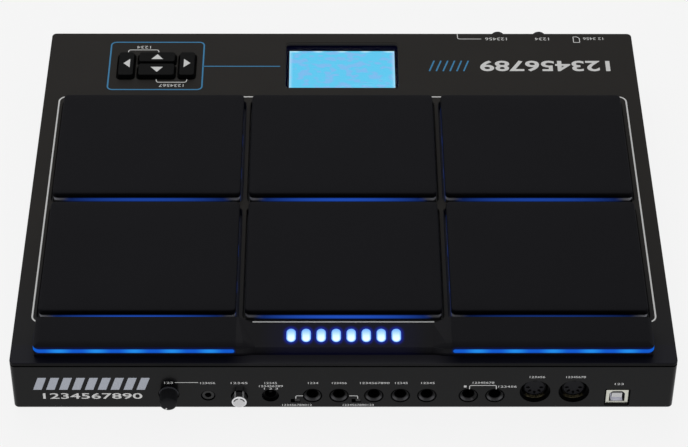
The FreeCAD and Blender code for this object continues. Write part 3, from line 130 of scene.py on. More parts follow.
class GlowSettings(bpy.types.PropertyGroup):
    blue: colour("Blue", "Deep blue of the lit edges", 0.012, 0.074, 0.48)
    strip: colour("Strip", "Blue of the edge strips between their lamps", 0.003, 0.098, 0.60)
    azure: colour("Azure", "Bright spots of the lit edges", 0.016, 0.30, 0.97)
    pale: colour("Pale", "Brightest part of the centre lamps", 0.72, 0.93, 1.0)
    # Painted glow: colour of the emission painted on the rim round the centre lamps.
    halo: colour("Halo", "Light that spreads into the rim round the centre lamps", 0.0, 0.006, 0.22)
    corner: colour("Corner", "Milky corners of the rings", 0.60, 0.61, 0.68)
    screen: colour("Screen", "Lit area of the display", 0.115, 0.56, 0.82)
    ring_x: length("Column pitch", "Distance between the pads' centres across the case", 113.0)
    ring_y: length("Row pitch", "Distance between the pads' rows", 96.3)
    spot_pitch: length("Spot pitch", "Distance between the lamps behind an edge strip", 20.25)
    spot_middle: length("Middle spot", "Middle lamp of an edge strip from the case's middle", 112.4)
    bar_pitch: length("Bar pitch", "Distance between the centre lamps", 8.1)
    bar_width: length("Bar width", "Width of a centre lamp", 5.0)
    bar_length: length("Bar length", "Length of a centre lamp", 8.6)
    bar_depth: length("Bar depth", "Centre lamps' middle from the connector wall", 12.65)


class PrintSettings(bpy.types.PropertyGroup):
    white: colour("White ink", "Colour of the white prints", 0.80, 0.80, 0.79)
    blue: colour("Blue ink", "Colour of the blue prints", 0.035, 0.24, 0.47)
    wall: colour("Wall ink", "Colour of the small white prints on the connector wall", 0.74, 0.74, 0.74)
    silver: colour("Silver ink", "Colour of the silver bars", 0.50, 0.53, 0.60)
    rise: length("Rise", "How far ink stands above its surface", 0.03)
    sink: length("Sink", "How far a print's solid reaches below the surface", 0.02)
    tub_round: length("Tub rounding", "Rounding of the tub's lower edge, which prints follow", 0.9)


class FittingSettings(bpy.types.PropertyGroup):
    pad_round: length("Pad rounding", "Rounding of a pad's upper edge", 1.0)
    pad_corner: length("Pad corner", "Corner radius of a pad", 2.6)
    pad_crown: length("Pad crown", "How much higher a pad is in its middle", 0.25)
    knob_flutes: IntProperty(name="Flutes", description="Grip flutes round a knob", default=24, min=6)
    flute_depth: length("Flute depth", "Depth of a knob's flutes", 0.16)
    pointer: length("Pointer width", "Width of the mark on a knob", 0.7)


# Node graphs

class Signal:
    """One output of a graph. Python sums on it add Math nodes."""

    def __init__(self, graph, socket):
        self.graph = graph
        self.socket = socket

    def math(self, operation, *values):
        return self.graph.node("ShaderNodeMath", {"operation": operation}, dict(enumerate(values)))

    def __add__(self, other):
        return self.math("ADD", self, other)

    def __sub__(self, other):
        return self.math("SUBTRACT", self, other)

    def __rsub__(self, other):
        return self.math("SUBTRACT", other, self)

    def __mul__(self, other):
        return self.math("MULTIPLY", self, other)

    def __truediv__(self, other):
        return self.math("DIVIDE", self, other)

    def __pow__(self, power):
        return self.math("POWER", self, power)

    def __abs__(self):
        return self.math("ABSOLUTE", self)

    def __lt__(self, limit):
        return self.math("LESS_THAN", self, limit)

    def __gt__(self, limit):
        return self.math("GREATER_THAN", self, limit)

    __radd__ = __add__
    __rmul__ = __mul__


class Graph:
    """A node tree under construction."""

    def __init__(self, tree):
        self.tree = tree

    def node(self, kind, settings=None, inputs=None, output=0):
        """Add a node, set its settings, then its sockets, and give back one output, if it has any."""
        made = self.tree.nodes.new(kind)
        for key, value in (settings or {}).items():
            setattr(made, key, value)
        for key, value in (inputs or {}).items():
            if isinstance(value, Signal):
                self.tree.links.new(value.socket, made.inputs[key])
            else:
                made.inputs[key].default_value = value
        return Signal(self, made.outputs[output]) if made.outputs else None


def paint(values, strength=1.0):
    """Four-part colour from a setting, made lighter or darker."""
    return tuple(min(1.0, value * strength) for value in values) + (1.0,)


class Finish(Graph):
    """A material under construction. Patterns are in object coordinates, in metres."""

    def __init__(self, name):
        self.material = bpy.data.materials.new(name)
        self.material.use_nodes = True
        super().__init__(self.material.node_tree)
        self.tree.nodes.clear()
        self.place = self.node("ShaderNodeTexCoord", output="Object")

    def axes(self):
        """The three coordinates as signals."""
        split = self.node("ShaderNodeSeparateXYZ", inputs={"Vector": self.place})
        return [Signal(self, out) for out in split.socket.node.outputs]

    def noise(self, size, detail=2.0, stretch=(1.0, 1.0, 1.0)):
        scaled = self.node("ShaderNodeMapping", inputs={"Vector": self.place, "Scale": stretch})
        return self.node("ShaderNodeTexNoise", inputs={
            "Vector": scaled, "Scale": 1.0 / size, "Detail": detail})

    def cells(self, size):
        return self.node("ShaderNodeTexVoronoi", inputs={"Vector": self.place, "Scale": 1.0 / size})

    def blend(self, factor, low, high):
        """Colour between two others; 6 and 7 are the node's colour sockets, and 2 is its colour output."""
        return self.node("ShaderNodeMix", {"data_type": "RGBA"}, {0: factor, 6: low, 7: high}, 2)

    def ease(self, value, low, high):
        """Smooth step from 0 at low to 1 at high."""
        return self.node("ShaderNodeMapRange", {"interpolation_type": "SMOOTHSTEP"},
                         {"Value": value, 1: low, 2: high})

    def fade(self, value, low, high):
        """Smooth step from 1 at low to 0 at high."""
        return 1.0 - self.ease(value, low, high)

    def bump(self, height, depth):
        return self.node("ShaderNodeBump", inputs={"Height": height, "Distance": depth})

    def surface(self, sockets):
        """End the material in one shader. What has a colour of light glows at full strength."""
        if "Emission Color" in sockets:
            sockets["Emission Strength"] = 1.0
        shader = self.node("ShaderNodeBsdfPrincipled", inputs=sockets)
        self.node("ShaderNodeOutputMaterial", inputs={"Surface": shader})
        return self.material


# Finishes

def mottle(finish, fine):
    """Broad clouds with some of the fine grain in them."""
    return finish.noise(bpy.context.scene.pad_shell.cloud) * 0.6 + fine * 0.4


def moulded(name, base, roughness=0.55, specular=0.2, grain=1.0, relief=1.0, extra=None):
    """Moulded plastic or rubber: fine grain, broad clouds and a slightly uneven gloss."""
    shell = bpy.context.scene.pad_shell
    finish = Finish(name)
    fine = finish.noise(shell.grain * grain, detail=3.0)
    sockets = {
        "Base Color": finish.blend(mottle(finish, fine), paint(base, DARK_CLOUD), paint(base, LIGHT_CLOUD)),
        "Roughness": (fine - 0.5) * 0.16 + roughness,
        "Normal": finish.bump(fine, shell.relief * relief),
        "Specular IOR Level": specular,
    }
    sockets.update(extra(finish) if extra else {})
    return finish.surface(sockets)


def rubber(name, extra=None):
    """Dull rubber of the playing surfaces."""
    base = bpy.context.scene.pad_shell.rubber
    return moulded(name, base, roughness=0.62, specular=0.05, grain=0.8, extra=extra)


def ink(name, base):
    """Screen-printed ink: matt, with a faint unevenness."""
    finish = Finish(name)
    fine = finish.noise(0.5 * MM)
    return finish.surface({
        "Base Color": finish.blend(fine, paint(base, 0.88), paint(base, 1.1)),
        "Roughness": 0.45 + fine * 0.2,
        "Specular IOR Level": 0.3,
    })


def metal(name, base, roughness, stretch=(1.0, 1.0, 1.0)):
    """Bare or plated metal, with fine turning or drawing marks along one axis."""
    finish = Finish(name)
    marks = finish.noise(0.4 * MM, detail=3.0, stretch=stretch)
    return finish.surface({
        "Base Color": finish.blend(marks, paint(base, 0.9), paint(base, 1.08)),
        "Metallic": 1.0,
        "Roughness": marks * 0.12 + roughness,
        "Normal": finish.bump(marks, 0.004 * MM),
    })


def wrapped(value, pitch):
    """Distance from the nearest of a row of centres that lie this far apart."""
    return value.math("WRAP", value, pitch / 2.0, -pitch / 2.0)


def hypotenuse(first, second):
    """Distance from a centre, from the offsets along two axes."""
    return (first * first + second * second) ** 0.5


def lit_ring_finish():
    """Milky ring, lit blue along its connector side and faintly where two columns of pads meet."""
    glow = bpy.context.scene.pad_glow
    low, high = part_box("pad_1")
    half_x = (high.x - low.x) / 2.0
    half_y = (high.y - low.y) / 2.0
    first_row = low.y + half_y
    finish = Finish("lit_ring")
    x, y, z = finish.axes()
    across = abs(wrapped(x, glow.ring_x))
    along = wrapped(y - first_row, glow.ring_y)
    near = finish.ease(along, half_y - 3.6 * MM, half_y - 2.6 * MM)
    face = finish.ease(z, LID_Z - 1.3 * MM, LID_Z) * (1.0 - 0.6 * (z > LID_Z + 1.55 * MM))
    reach = across / half_x
    spread = 1.0 - 1.1 * reach * reach
    spread = spread.math("MAXIMUM", spread, 0.0) * finish.fade(reach, 0.84, 0.93)
    outer = abs(x) > glow.ring_x / 2.0
    first = y > first_row - glow.ring_y / 2.0
    dim_far = (1.0 - first) * (0.16 + 0.2 * outer)
    dim_side = outer * first * ((x < 0.0) * 0.5 + 0.15)
    corner = finish.ease(across, half_x - 11.0 * MM, half_x - 2.0 * MM) * finish.ease(
        along, half_y - 5.0 * MM, half_y - 2.0 * MM) * finish.ease(z, LID_Z - 0.4 * MM, LID_Z + 0.7 * MM)
    side = finish.ease(across, half_x - 3.4 * MM, half_x - 2.4 * MM) * (1.0 - near)
    inner = outer * (abs(x) < glow.ring_x / 2.0 + 8.0 * MM)
    fine = finish.noise(0.4 * MM)
    lit = finish.blend(near * face * spread * (1.0 - (dim_far + dim_side)), BLACK, paint(glow.blue))
    lit = finish.blend(side * (0.03 + 0.3 * inner), lit, paint(glow.blue))
    return finish.surface({
        "Base Color": finish.blend(corner, paint(glow.corner, 0.06), paint(glow.corner)),
        "Roughness": fine * 0.1 + 0.35,
        "Specular IOR Level": 0.2,
        "Emission Color": lit,
    })


def strip_distance(x, z):
    """Distance from the middle line of an edge strip, which ends round towards the middle of the case."""
    low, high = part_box("edge_strip_left")
    half = (high.z - low.z) / 2.0
    short = -high.x + half - abs(x)
    short = short.math("MAXIMUM", short, 0.0)
    return hypotenuse(short, z - (low.z + half)), half


def lit_strip_finish():
    """Blue strip with brighter spots where the lamps stand behind it, darker towards its outline."""
    glow = bpy.context.scene.pad_glow
    finish = Finish("lit_strip")
    x, y, z = finish.axes()
    step = abs(wrapped(abs(x) - glow.spot_middle, glow.spot_pitch))
    spot = finish.fade(step, 0.0, 0.42 * glow.spot_pitch)
    gap, half = strip_distance(x, z)
    edge = finish.ease(gap, half * 0.55, half)
    fine = finish.noise(0.6 * MM)
    lit = finish.blend(spot, paint(glow.strip), paint(glow.azure, 0.86))
    return finish.surface({
        "Base Color": finish.blend(fine, paint(glow.blue, 0.02), paint(glow.blue, 0.04)),
        "Roughness": fine * 0.08 + 0.3,
        "Specular IOR Level": 0.03,
        "Emission Color": finish.blend(edge, lit, paint(glow.strip, 0.06)),
    })


def bar_distance(x, y):
    """Distance from the outline of the nearest centre lamp, negative inside it."""
    glow = bpy.context.scene.pad_glow
    pitch = glow.bar_pitch
    end = pitch * (BARS - 1) / 2.0
    held = x.math("MAXIMUM", x.math("MINIMUM", x, end), -end)
    step = held / pitch - 0.5
    across = x - (step.math("ROUND", step) + 0.5) * pitch
    along = abs(y - (WALL_Y - glow.bar_depth)) - (glow.bar_length - glow.bar_width) / 2.0
    along = along.math("MAXIMUM", along, 0.0)
    return hypotenuse(across, along) - glow.bar_width / 2.0


def lamp_finish():
    """Milky lamp bars, palest at the connector side."""
    glow = bpy.context.scene.pad_glow
    finish = Finish("centre_lamps")
    x, y, z = finish.axes()
    middle = WALL_Y - glow.bar_depth
    pale = finish.ease(y, middle - glow.bar_length * 0.55, middle + glow.bar_length * 0.3)
    core = finish.ease(bar_distance(x, y), 0.0, -1.1 * MM)
    fine = finish.noise(0.6 * MM)
    lit = finish.blend(pale, paint(glow.azure, 0.9), paint(glow.pale))
    return finish.surface({
        "Base Color": finish.blend(fine, (0.2, 0.3, 0.4, 1.0), (0.26, 0.36, 0.46, 1.0)),
        "Roughness": 0.4 + fine * 0.05,
        "Emission Color": finish.blend(core, paint(glow.azure, 0.75), lit),
    })


def rim_painted_glow(finish):
    """Painted blue glow on the rim round the centre lamps and on the rim and edge pads beside the edge
    strips, standing in for their spilled light.
    """
    glow = bpy.context.scene.pad_glow
    x, y, z = finish.axes()
    away = bar_distance(x, y)
    near = finish.fade(away, 0.0, 3.0 * MM)
    faint = finish.fade(away, 1.0 * MM, 16.0 * MM) * 0.03
    top = z > LID_Z + 6.0 * MM
    gap, half = strip_distance(x, z)
    outer = abs(x) > glow.ring_x / 2.0
    beside = finish.fade(gap, half, half + 1.0 * MM) * (y > WALL_Y - 3.0 * MM) * outer
    # Painted glow: emission near the centre lamps and beside the edge strips.
    glowing = near * near * top + faint + beside * 0.16
    return {"Emission Color": finish.blend(glowing, BLACK, paint(glow.halo))}


def lid_shade(finish):
    """Lid with painted shade, darker and cooler towards the connector wall and darkest on its faces below
    the rim near the wall, and painted light on the ledge under the rim and in the display's opening.
    """
    shell = bpy.context.scene.pad_shell
    low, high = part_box("display_window")
    x, y, z = finish.axes()
    # Painted shade: the lid darkens towards the connector wall, where less light falls.
    rear = finish.ease(y, 20.0 * MM, WALL_Y)
    dark, light = [finish.blend(rear, paint(shell.lid, cloud), paint(shell.lid_rear_painted_shade, cloud))
                   for cloud in (DARK_CLOUD, LIGHT_CLOUD)]
    clouds = mottle(finish, finish.noise(shell.grain, detail=3.0))
    middle = (low.y + high.y) / 2.0
    # Painted light on the walls of the display's opening, lighter high up.
    inside = (abs(x) < high.x) * (abs(y - middle) < high.y - middle) * (z < LID_Z - 0.3 * MM) * (
        z > high.z - 0.3 * MM)
    # Painted light on the lid's top near the wall: grey where the rim shades it, dark blue under the edge
    # strips.
    ledge = y > WALL_Y - 14.0 * MM
    side = finish.ease(abs(x), 50.0 * MM, 64.0 * MM)
    top = z > LID_Z - 0.3 * MM
    ledge_light = finish.blend(side, (0.0060, 0.0058, 0.0076, 1.0), (0.0, 0.0, 0.0018, 1.0))
    upper = finish.ease(z, LID_Z - 1.7 * MM, LID_Z - 0.7 * MM)
    opening_light = finish.blend(upper, (0.007, 0.007, 0.009, 1.0), (0.018, 0.017, 0.016, 1.0))
    # Painted shade on the lid's faces below its top near the wall, under the edge strips.
    shaded = (y > WALL_Y - 3.0 * MM) * side * (1.0 - top)
    lit = finish.blend(ledge * top, BLACK, ledge_light)
    return {
        "Base Color": finish.blend(shaded, finish.blend(clouds, dark, light), paint(shell.lid_rear_painted_shade, 0.4)),
        "Emission Color": finish.blend(inside, lit, opening_light),
    }


def knob_root_painted_highlight(finish):
    """Painted highlight: a lighter collar where a knob meets its wall."""
    shell = bpy.context.scene.pad_shell
    x, y, z = finish.axes()
    # Painted highlight on the knob's root.
    painted_root_highlight = finish.fade(abs(y), WALL_Y + 0.3 * MM, WALL_Y + 0.8 * MM)
    return {"Base Color": finish.blend(painted_root_highlight, paint(shell.knobs), paint(shell.knobs, 7.0))}


def collar_painted_light(finish):
    """Jack collars of the rear row with painted shade that blackens the throat, and painted glints low on
    both sides of it; the front collar takes the glints' lighter colour all over.
    """
    shell = bpy.context.scene.pad_shell
    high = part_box("jack_sockets")[1]
    aux_low, aux_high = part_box("aux_socket")
    x, y, z = finish.axes()
    down = aux_low.z + (aux_high.x - aux_low.x) / 2.0 - z
    across, *others = [abs(x - (start.x + end.x) / 2.0) for start, end in solid_boxes("jack_sockets")]
    for other in others:
        across = across.math("MINIMUM", across, other)
    radius = hypotenuse(across, down)
    # Painted glints: lighter colour low on both sides of each rear collar's hole.
    lit = finish.ease(radius, 3.1 * MM, 3.9 * MM) * finish.ease(down, 0.3 * MM, 2.6 * MM) * (
        finish.ease(across, 0.8 * MM, 2.8 * MM) * 0.65 + 0.35)
    front = y < 0.0
    # Painted shade: the throat deep in each rear collar is darkened to near black.
    throat = finish.ease(y, high.y - 0.6 * MM, high.y - 1.8 * MM) * (1.0 - front)
    dark = finish.blend(throat, paint(shell.collars, 1.6), paint(shell.collars, 0.1))
    return {"Base Color": finish.blend(lit * (1.0 - throat) + front, dark, paint(shell.collars, 14.0))}


def screen_finish():
    """Backlit display: even sky blue, faint blotches, pale ends and lamps along its far edge, with painted
    faint blue light on the border round it.
    """
    glow = bpy.context.scene.pad_glow
    low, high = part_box("display_module")
    finish = Finish("screen_lit")
    x, y, z = finish.axes()
    inner = (high.x - low.x) / 2.0 - 5.5 * MM
    middle = (low.y + high.y) / 2.0
    deep = (high.y - low.y) / 2.0 - 5.95 * MM
    edge_x = abs(x)
    edge_y = abs(y - middle)
    inside = finish.fade(edge_x, inner - 0.2 * MM, inner) * finish.fade(
        edge_y, deep - 0.2 * MM, deep) * (z > high.z - 0.5 * MM)
    pale = finish.ease(edge_x, inner - 2.6 * MM, inner) * 0.35
    far = finish.ease(y, middle - deep + 2.2 * MM, middle - deep)
    lamp_pitch = 14.5 * MM
    spots = finish.fade(abs(wrapped(x, lamp_pitch)), 0.0, 4.5 * MM)
    cloudy = finish.noise(4.4 * MM, detail=0.5, stretch=(1.0, 1.5, 1.0))
    blotch = finish.ease(cloudy, 0.50, 0.62) * 0.6
    lit = finish.blend(blotch, paint(glow.screen), (0.26, 0.44, 0.80, 1.0))
    lit = finish.blend(pale + far * spots * 0.8, lit, (0.75, 0.93, 1.0, 1.0))
    return finish.surface({
        "Base Color": (0.004, 0.004, 0.01, 1.0),
        "Roughness": finish.noise(1.0 * MM) * 0.1 + 0.3,
        # Painted light: a faint dark-blue glow on the module outside its lit area.
        "Emission Color": finish.blend(inside, (0.0, 0.0, 0.004, 1.0), lit),
    })


def glass_finish():
    """Clear window with the faintest haze."""
    finish = Finish("window_clear")
    return finish.surface({
        "Base Color": (0.95, 0.98, 1.0, 1.0),
        "Roughness": finish.noise(20.0 * MM) * 0.02,
        "IOR": 1.12,
        "Transmission Weight": 1.0,
    })


def board_finish():
    """Printed circuit board: green mask over a pattern of tracks and pads."""
    finish = Finish("green_board")
    tracks = finish.node("ShaderNodeTexBrick", inputs={
        "Vector": finish.place, "Scale": 1.0 / (9.0 * MM), "Mortar Size": 0.05, "Brick Width": 1.3,
        "Row Height": 0.35}, output="Fac")
    holes = finish.cells(2.54 * MM) < 0.2
    fine = finish.noise(3.0 * MM)
    green = finish.blend(fine, (0.012, 0.085, 0.035, 1.0), (0.018, 0.12, 0.05, 1.0))
    green = finish.blend(tracks, green, (0.03, 0.2, 0.08, 1.0))
    return finish.surface({
        "Base Color": finish.blend(holes, green, (0.45, 0.42, 0.34, 1.0)),
        "Roughness": 0.3 + fine * 0.1,
        "Normal": finish.bump(tracks, 0.03 * MM),
    })


def foam_finish():
    """Closed-cell foam: a skin of small round cells."""
    finish = Finish("cell_foam")
    cell = finish.cells(0.8 * MM)
    return finish.surface({
        "Base Color": finish.blend(cell, (0.05, 0.05, 0.052, 1.0), (0.022, 0.022, 0.024, 1.0)),
        "Roughness": cell * 0.1 + 0.85,
        "Normal": finish.bump(cell, 0.15 * MM),
        "Sheen Weight": 0.3,
    })


def ribbon_finish():
    """Flat cable: grey wires side by side."""
    finish = Finish("flat_cable")
    x, y, z = finish.axes()
    pitch = 1.27 * MM
    wire = abs(wrapped(x, pitch)) / (pitch / 2.0)
    return finish.surface({
        "Base Color": finish.blend(wire, (0.5, 0.5, 0.5, 1.0), (0.2, 0.2, 0.21, 1.0)),
        "Roughness": wire * 0.1 + 0.45,
        "Normal": finish.bump(1.0 - wire * wire, 0.3 * MM),
    })


def usb_finish():
    """Nickel shell with a pale tongue, painted shade that darkens the inside of the shell, and painted light
    on the floor inside it.
    """
    low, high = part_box("usb_socket")
    finish = Finish("usb_nickel")
    x, y, z = finish.axes()
    across = abs(x - (low.x + high.x) / 2.0)
    middle = low.z + USB_MIDDLE
    tongue = (across < 2.85 * MM) * (abs(z - middle) < 1.65 * MM) * (y < high.y - 0.7 * MM)
    # Painted shade: inside the shell the colour is dark and not metallic.
    painted_mouth_shade = (y < high.y - 0.4 * MM) * (1.0 - tongue)
    # Painted light: the floor inside the shell is pale and glows.
    floor = painted_mouth_shade * (z < middle - 1.9 * MM) * (across < 3.2 * MM)
    fine = finish.noise(0.8 * MM, stretch=(1.0, 0.3, 1.0))
    steel = finish.blend(fine, (0.56, 0.56, 0.50, 1.0), (0.68, 0.68, 0.60, 1.0))
    steel = finish.blend(painted_mouth_shade, steel, (0.05, 0.05, 0.05, 1.0))
    steel = finish.blend(floor, steel, (0.8, 0.8, 0.86, 1.0))
    return finish.surface({
        "Base Color": finish.blend(tongue, steel, (0.74, 0.74, 0.76, 1.0)),
        "Metallic": 1.0 - tongue - painted_mouth_shade,
        "Emission Color": finish.blend(floor, BLACK, (0.16, 0.16, 0.19, 1.0)),
        "Roughness": fine * 0.15 + 0.28,
        "Normal": finish.bump(fine, 0.006 * MM),
    })


def din_finish():
    """Black round sockets with a dull brass shield low in the throat."""
    shell = bpy.context.scene.pad_shell
    low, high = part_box("midi_inserts")
    finish = Finish("din_black")
    x, y, z = finish.axes()
    apart = (high.x - low.x - (high.z - low.z)) / 2.0
    across = abs(abs(x - (low.x + high.x) / 2.0) - apart)
    down = (low.z + high.z) / 2.0 - z
    radius = hypotenuse(across, down)
    fine = finish.noise(1.1 * MM)
    band = finish.ease(radius, 6.3 * MM, 6.7 * MM) * finish.fade(radius, 7.3 * MM, 7.9 * MM)
    shield = band * finish.ease(down, 4.5 * MM, 6.8 * MM) * finish.ease(fine, 0.3, 0.6)
    return finish.surface({
        "Base Color": finish.blend(shield, paint(shell.sockets), (0.15, 0.13, 0.075, 1.0)),
        "Roughness": fine * 0.1 + 0.4,
        "Specular IOR Level": 0.06,
    })


def button_finish():
    """Bright plating with a painted highlight round the rim of its end, painted dark reflections as arcs on
    its end, and painted streaks of light along its sides.
    """
    low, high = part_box("power_button")
    finish = Finish("chrome")
    x, y, z = finish.axes()
    across = abs(x - (low.x + high.x) / 2.0)
    up = z - (low.z + high.z) / 2.0
    radius = hypotenuse(across, up)
    end = y > high.y - 0.3 * MM
    # Painted highlight: pale, non-metallic streaks along the upper sides.
    painted_streak = (1.0 - end) * (up > 0.0) * finish.fade(abs(across - 2.2 * MM), 0.1 * MM, 0.7 * MM)
    upper_sides = (up > 0.8 * MM) * (across > 0.5 * MM)
    # Painted reflection: dark arcs on the upper part of the end.
    painted_dark_arc = end * upper_sides * finish.fade(abs(radius - 2.9 * MM), 0.2 * MM, 0.5 * MM)
    # Painted highlight: lighter plating round the rim of the end.
    rim = finish.ease(radius, 3.2 * MM, 3.6 * MM)
    plate = finish.blend(rim * end, (0.56, 0.56, 0.57, 1.0), (0.76, 0.76, 0.78, 1.0))
    plate = finish.blend(painted_dark_arc, plate, (0.02, 0.02, 0.02, 1.0))
    fine = finish.noise(0.4 * MM)
    return finish.surface({
        "Base Color": finish.blend(painted_streak, plate, (0.55, 0.55, 0.56, 1.0)),
        "Metallic": 1.0 - painted_streak,
        "Roughness": fine * 0.06 + 0.1,
    })


# Meshes

def linked(name, data):
    """New object in the scene, at its origin."""
    made = bpy.data.objects.new(name, data)
    bpy.context.scene.collection.objects.link(made)
    return made


def plain_mesh(maker):
    """Mesh of an evaluated helper object, which is removed."""
    graph = bpy.context.evaluated_depsgraph_get()
    mesh = bpy.data.meshes.new_from_object(maker.evaluated_get(graph))
    bpy.data.objects.remove(maker)
    return mesh


def finished_piece(name, mesh, material, body, crease=20.0):
    """Put a mesh in the scene as a piece: outward faces, creases from this angle on, a finish and a body."""
    shape = bmesh.new()
    shape.from_mesh(mesh)
    bmesh.ops.remove_doubles(shape, verts=shape.verts, dist=0.001 * MM)
    bmesh.ops.recalc_face_normals(shape, faces=shape.faces)
    for face in shape.faces:
        face.smooth = True
    for edge in shape.edges:
        edge.smooth = len(edge.link_faces) == 2 and edge.calc_face_angle(0.0) < math.radians(crease)
    shape.to_mesh(mesh)
    shape.free()
    mesh.materials.clear()
    mesh.materials.append(material)
    piece = linked(name, mesh)
    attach(piece, body)
    return piece


def skin(loops):
    """Mesh through loops of equally many points, capped at both ends."""
    count = len(loops[0])
    points = [point for loop in loops for point in loop]
    last = len(points) - count
    faces = [list(range(count))[::-1], [last + k for k in range(count)]]
    for start in range(0, last, count):
        for k in range(count):
            after = (k + 1) % count
            faces.append([start + k, start + after, start + count + after, start + count + k])
    mesh = bpy.data.meshes.new("shape")
    mesh.from_pydata(points, [], faces)
    return mesh


def rounded_rectangle(half_x, half_y, corner, steps=8):
    """Points round a rectangle with round corners, counter-clockwise."""
    points = []
    for i, (sx, sy) in enumerate(((1, 1), (-1, 1), (-1, -1), (1, -1))):
        for k in range(steps + 1):
            turn = math.pi / 2.0 * (i + k / steps)
            points.append((sx * (half_x - corner) + corner * math.cos(turn),
                           sy * (half_y - corner) + corner * math.sin(turn)))
    return points


def quarter(radius, steps=5):
    """Inset and drop of points round a quarter circle, from the side up to the top."""
    turns = [math.pi / 2.0 * k / steps for k in range(steps + 1)]
    return [(radius * (1.0 - math.cos(turn)), radius * (1.0 - math.sin(turn))) for turn in turns]


def solid_boxes(node):
    """Boxes of a CAD node's separate solids."""
    shape = bmesh.new()
    shape.from_mesh(NODES[node].data)
    bmesh.ops.remove_doubles(shape, verts=shape.verts, dist=0.001 * MM)
    seen = set()
    boxes = []
    for start in shape.verts:
        if start in seen:
            continue
        seen.add(start)
        solid = [start]
        for vertex in solid:
            for edge in vertex.link_edges:
                other = edge.other_vert(vertex)
                if other not in seen:
                    seen.add(other)
                    solid.append(other)
        axes = list(zip(*(vertex.co for vertex in solid)))
        boxes.append(tuple(Vector([pick(axis) for axis in axes]) for pick in (min, max)))
    shape.free()
    return boxes


# Geometry node trees

def new_tree(name, inputs):
    """Geometry tree with a mesh input, these named inputs and a mesh output."""
    tree = bpy.data.node_groups.new(name, "GeometryNodeTree")
    tree.interface.new_socket("Geometry", in_out="OUTPUT", socket_type="NodeSocketGeometry")
    tree.interface.new_socket("Geometry", in_out="INPUT", socket_type="NodeSocketGeometry")
    for label, kind in inputs:
        tree.interface.new_socket(label, in_out="INPUT", socket_type=kind)
    return Graph(tree)


def end_tree(graph, geometry):
    """Realize what the tree made, give it its finish and hand it out."""
    real = graph.node("GeometryNodeRealizeInstances", inputs={"Geometry": geometry})
    done = graph.node("GeometryNodeSetMaterial", inputs={
        "Geometry": real, "Material": graph.node("NodeGroupInput", output="Finish")})
    graph.node("NodeGroupOutput", inputs={0: done})
    return graph.tree


def ink_line_tree():
    """Each run of edges becomes a flat band of ink with rounded corners."""
    graph = new_tree("ink line", [("Width", "NodeSocketFloat"), ("Thickness", "NodeSocketFloat"),
                                  ("Corner", "NodeSocketFloat"), ("Finish", "NodeSocketMaterial")])
    names = ("Geometry", "Width", "Thickness", "Corner")
    given = {name: graph.node("NodeGroupInput", output=name) for name in names}
    run = graph.node("GeometryNodeMeshToCurve", inputs={"Mesh": given["Geometry"]})
    run = graph.node("GeometryNodeFilletCurve", {"mode": "POLY"}, {
        "Curve": run, "Count": 6, "Radius": given["Corner"], "Limit Radius": True})
    run = graph.node("GeometryNodeSetCurveNormal", {"mode": "Z_UP"}, {"Curve": run})
    band = graph.node("GeometryNodeCurvePrimitiveQuadrilateral", inputs={
        "Width": given["Width"], "Height": given["Thickness"]})
    return end_tree(graph, graph.node("GeometryNodeCurveToMesh", inputs={
        "Curve": run, "Profile Curve": band, "Fill Caps": True}))


def repeat_tree():
    """A copy of one shape on every point."""
    graph = new_tree("repeat", [("Shape", "NodeSocketObject"), ("Finish", "NodeSocketMaterial")])
    shape = graph.node("GeometryNodeObjectInfo", inputs={
        "Object": graph.node("NodeGroupInput", output="Shape")}, output="Geometry")
    return end_tree(graph, graph.node("GeometryNodeInstanceOnPoints", inputs={
        "Points": graph.node("NodeGroupInput", output="Geometry"), "Instance": shape}))


def grown(mesh, tree, values):
    """Mesh that a geometry tree makes from this one, with its named inputs set."""
    holder = linked("holder", mesh)
    modifier = holder.modifiers.new("grow", "NODES")
    modifier.node_group = tree
    for item in tree.interface.items_tree:
        if item.item_type == "SOCKET" and item.in_out == "INPUT" and item.name in values:
            modifier[item.identifier] = values[item.name]
    return plain_mesh(holder)


def repeated(shape_mesh, spots, material):
    """Copies of a mesh at these spots, as one mesh."""
    points = bpy.data.meshes.new("spots")
    points.from_pydata(spots, [], [])
    shape = linked("shape", shape_mesh)
    made = grown(points, repeat_tree(), {"Shape": shape, "Finish": material})
    bpy.data.objects.remove(shape)
    return made


# Prints

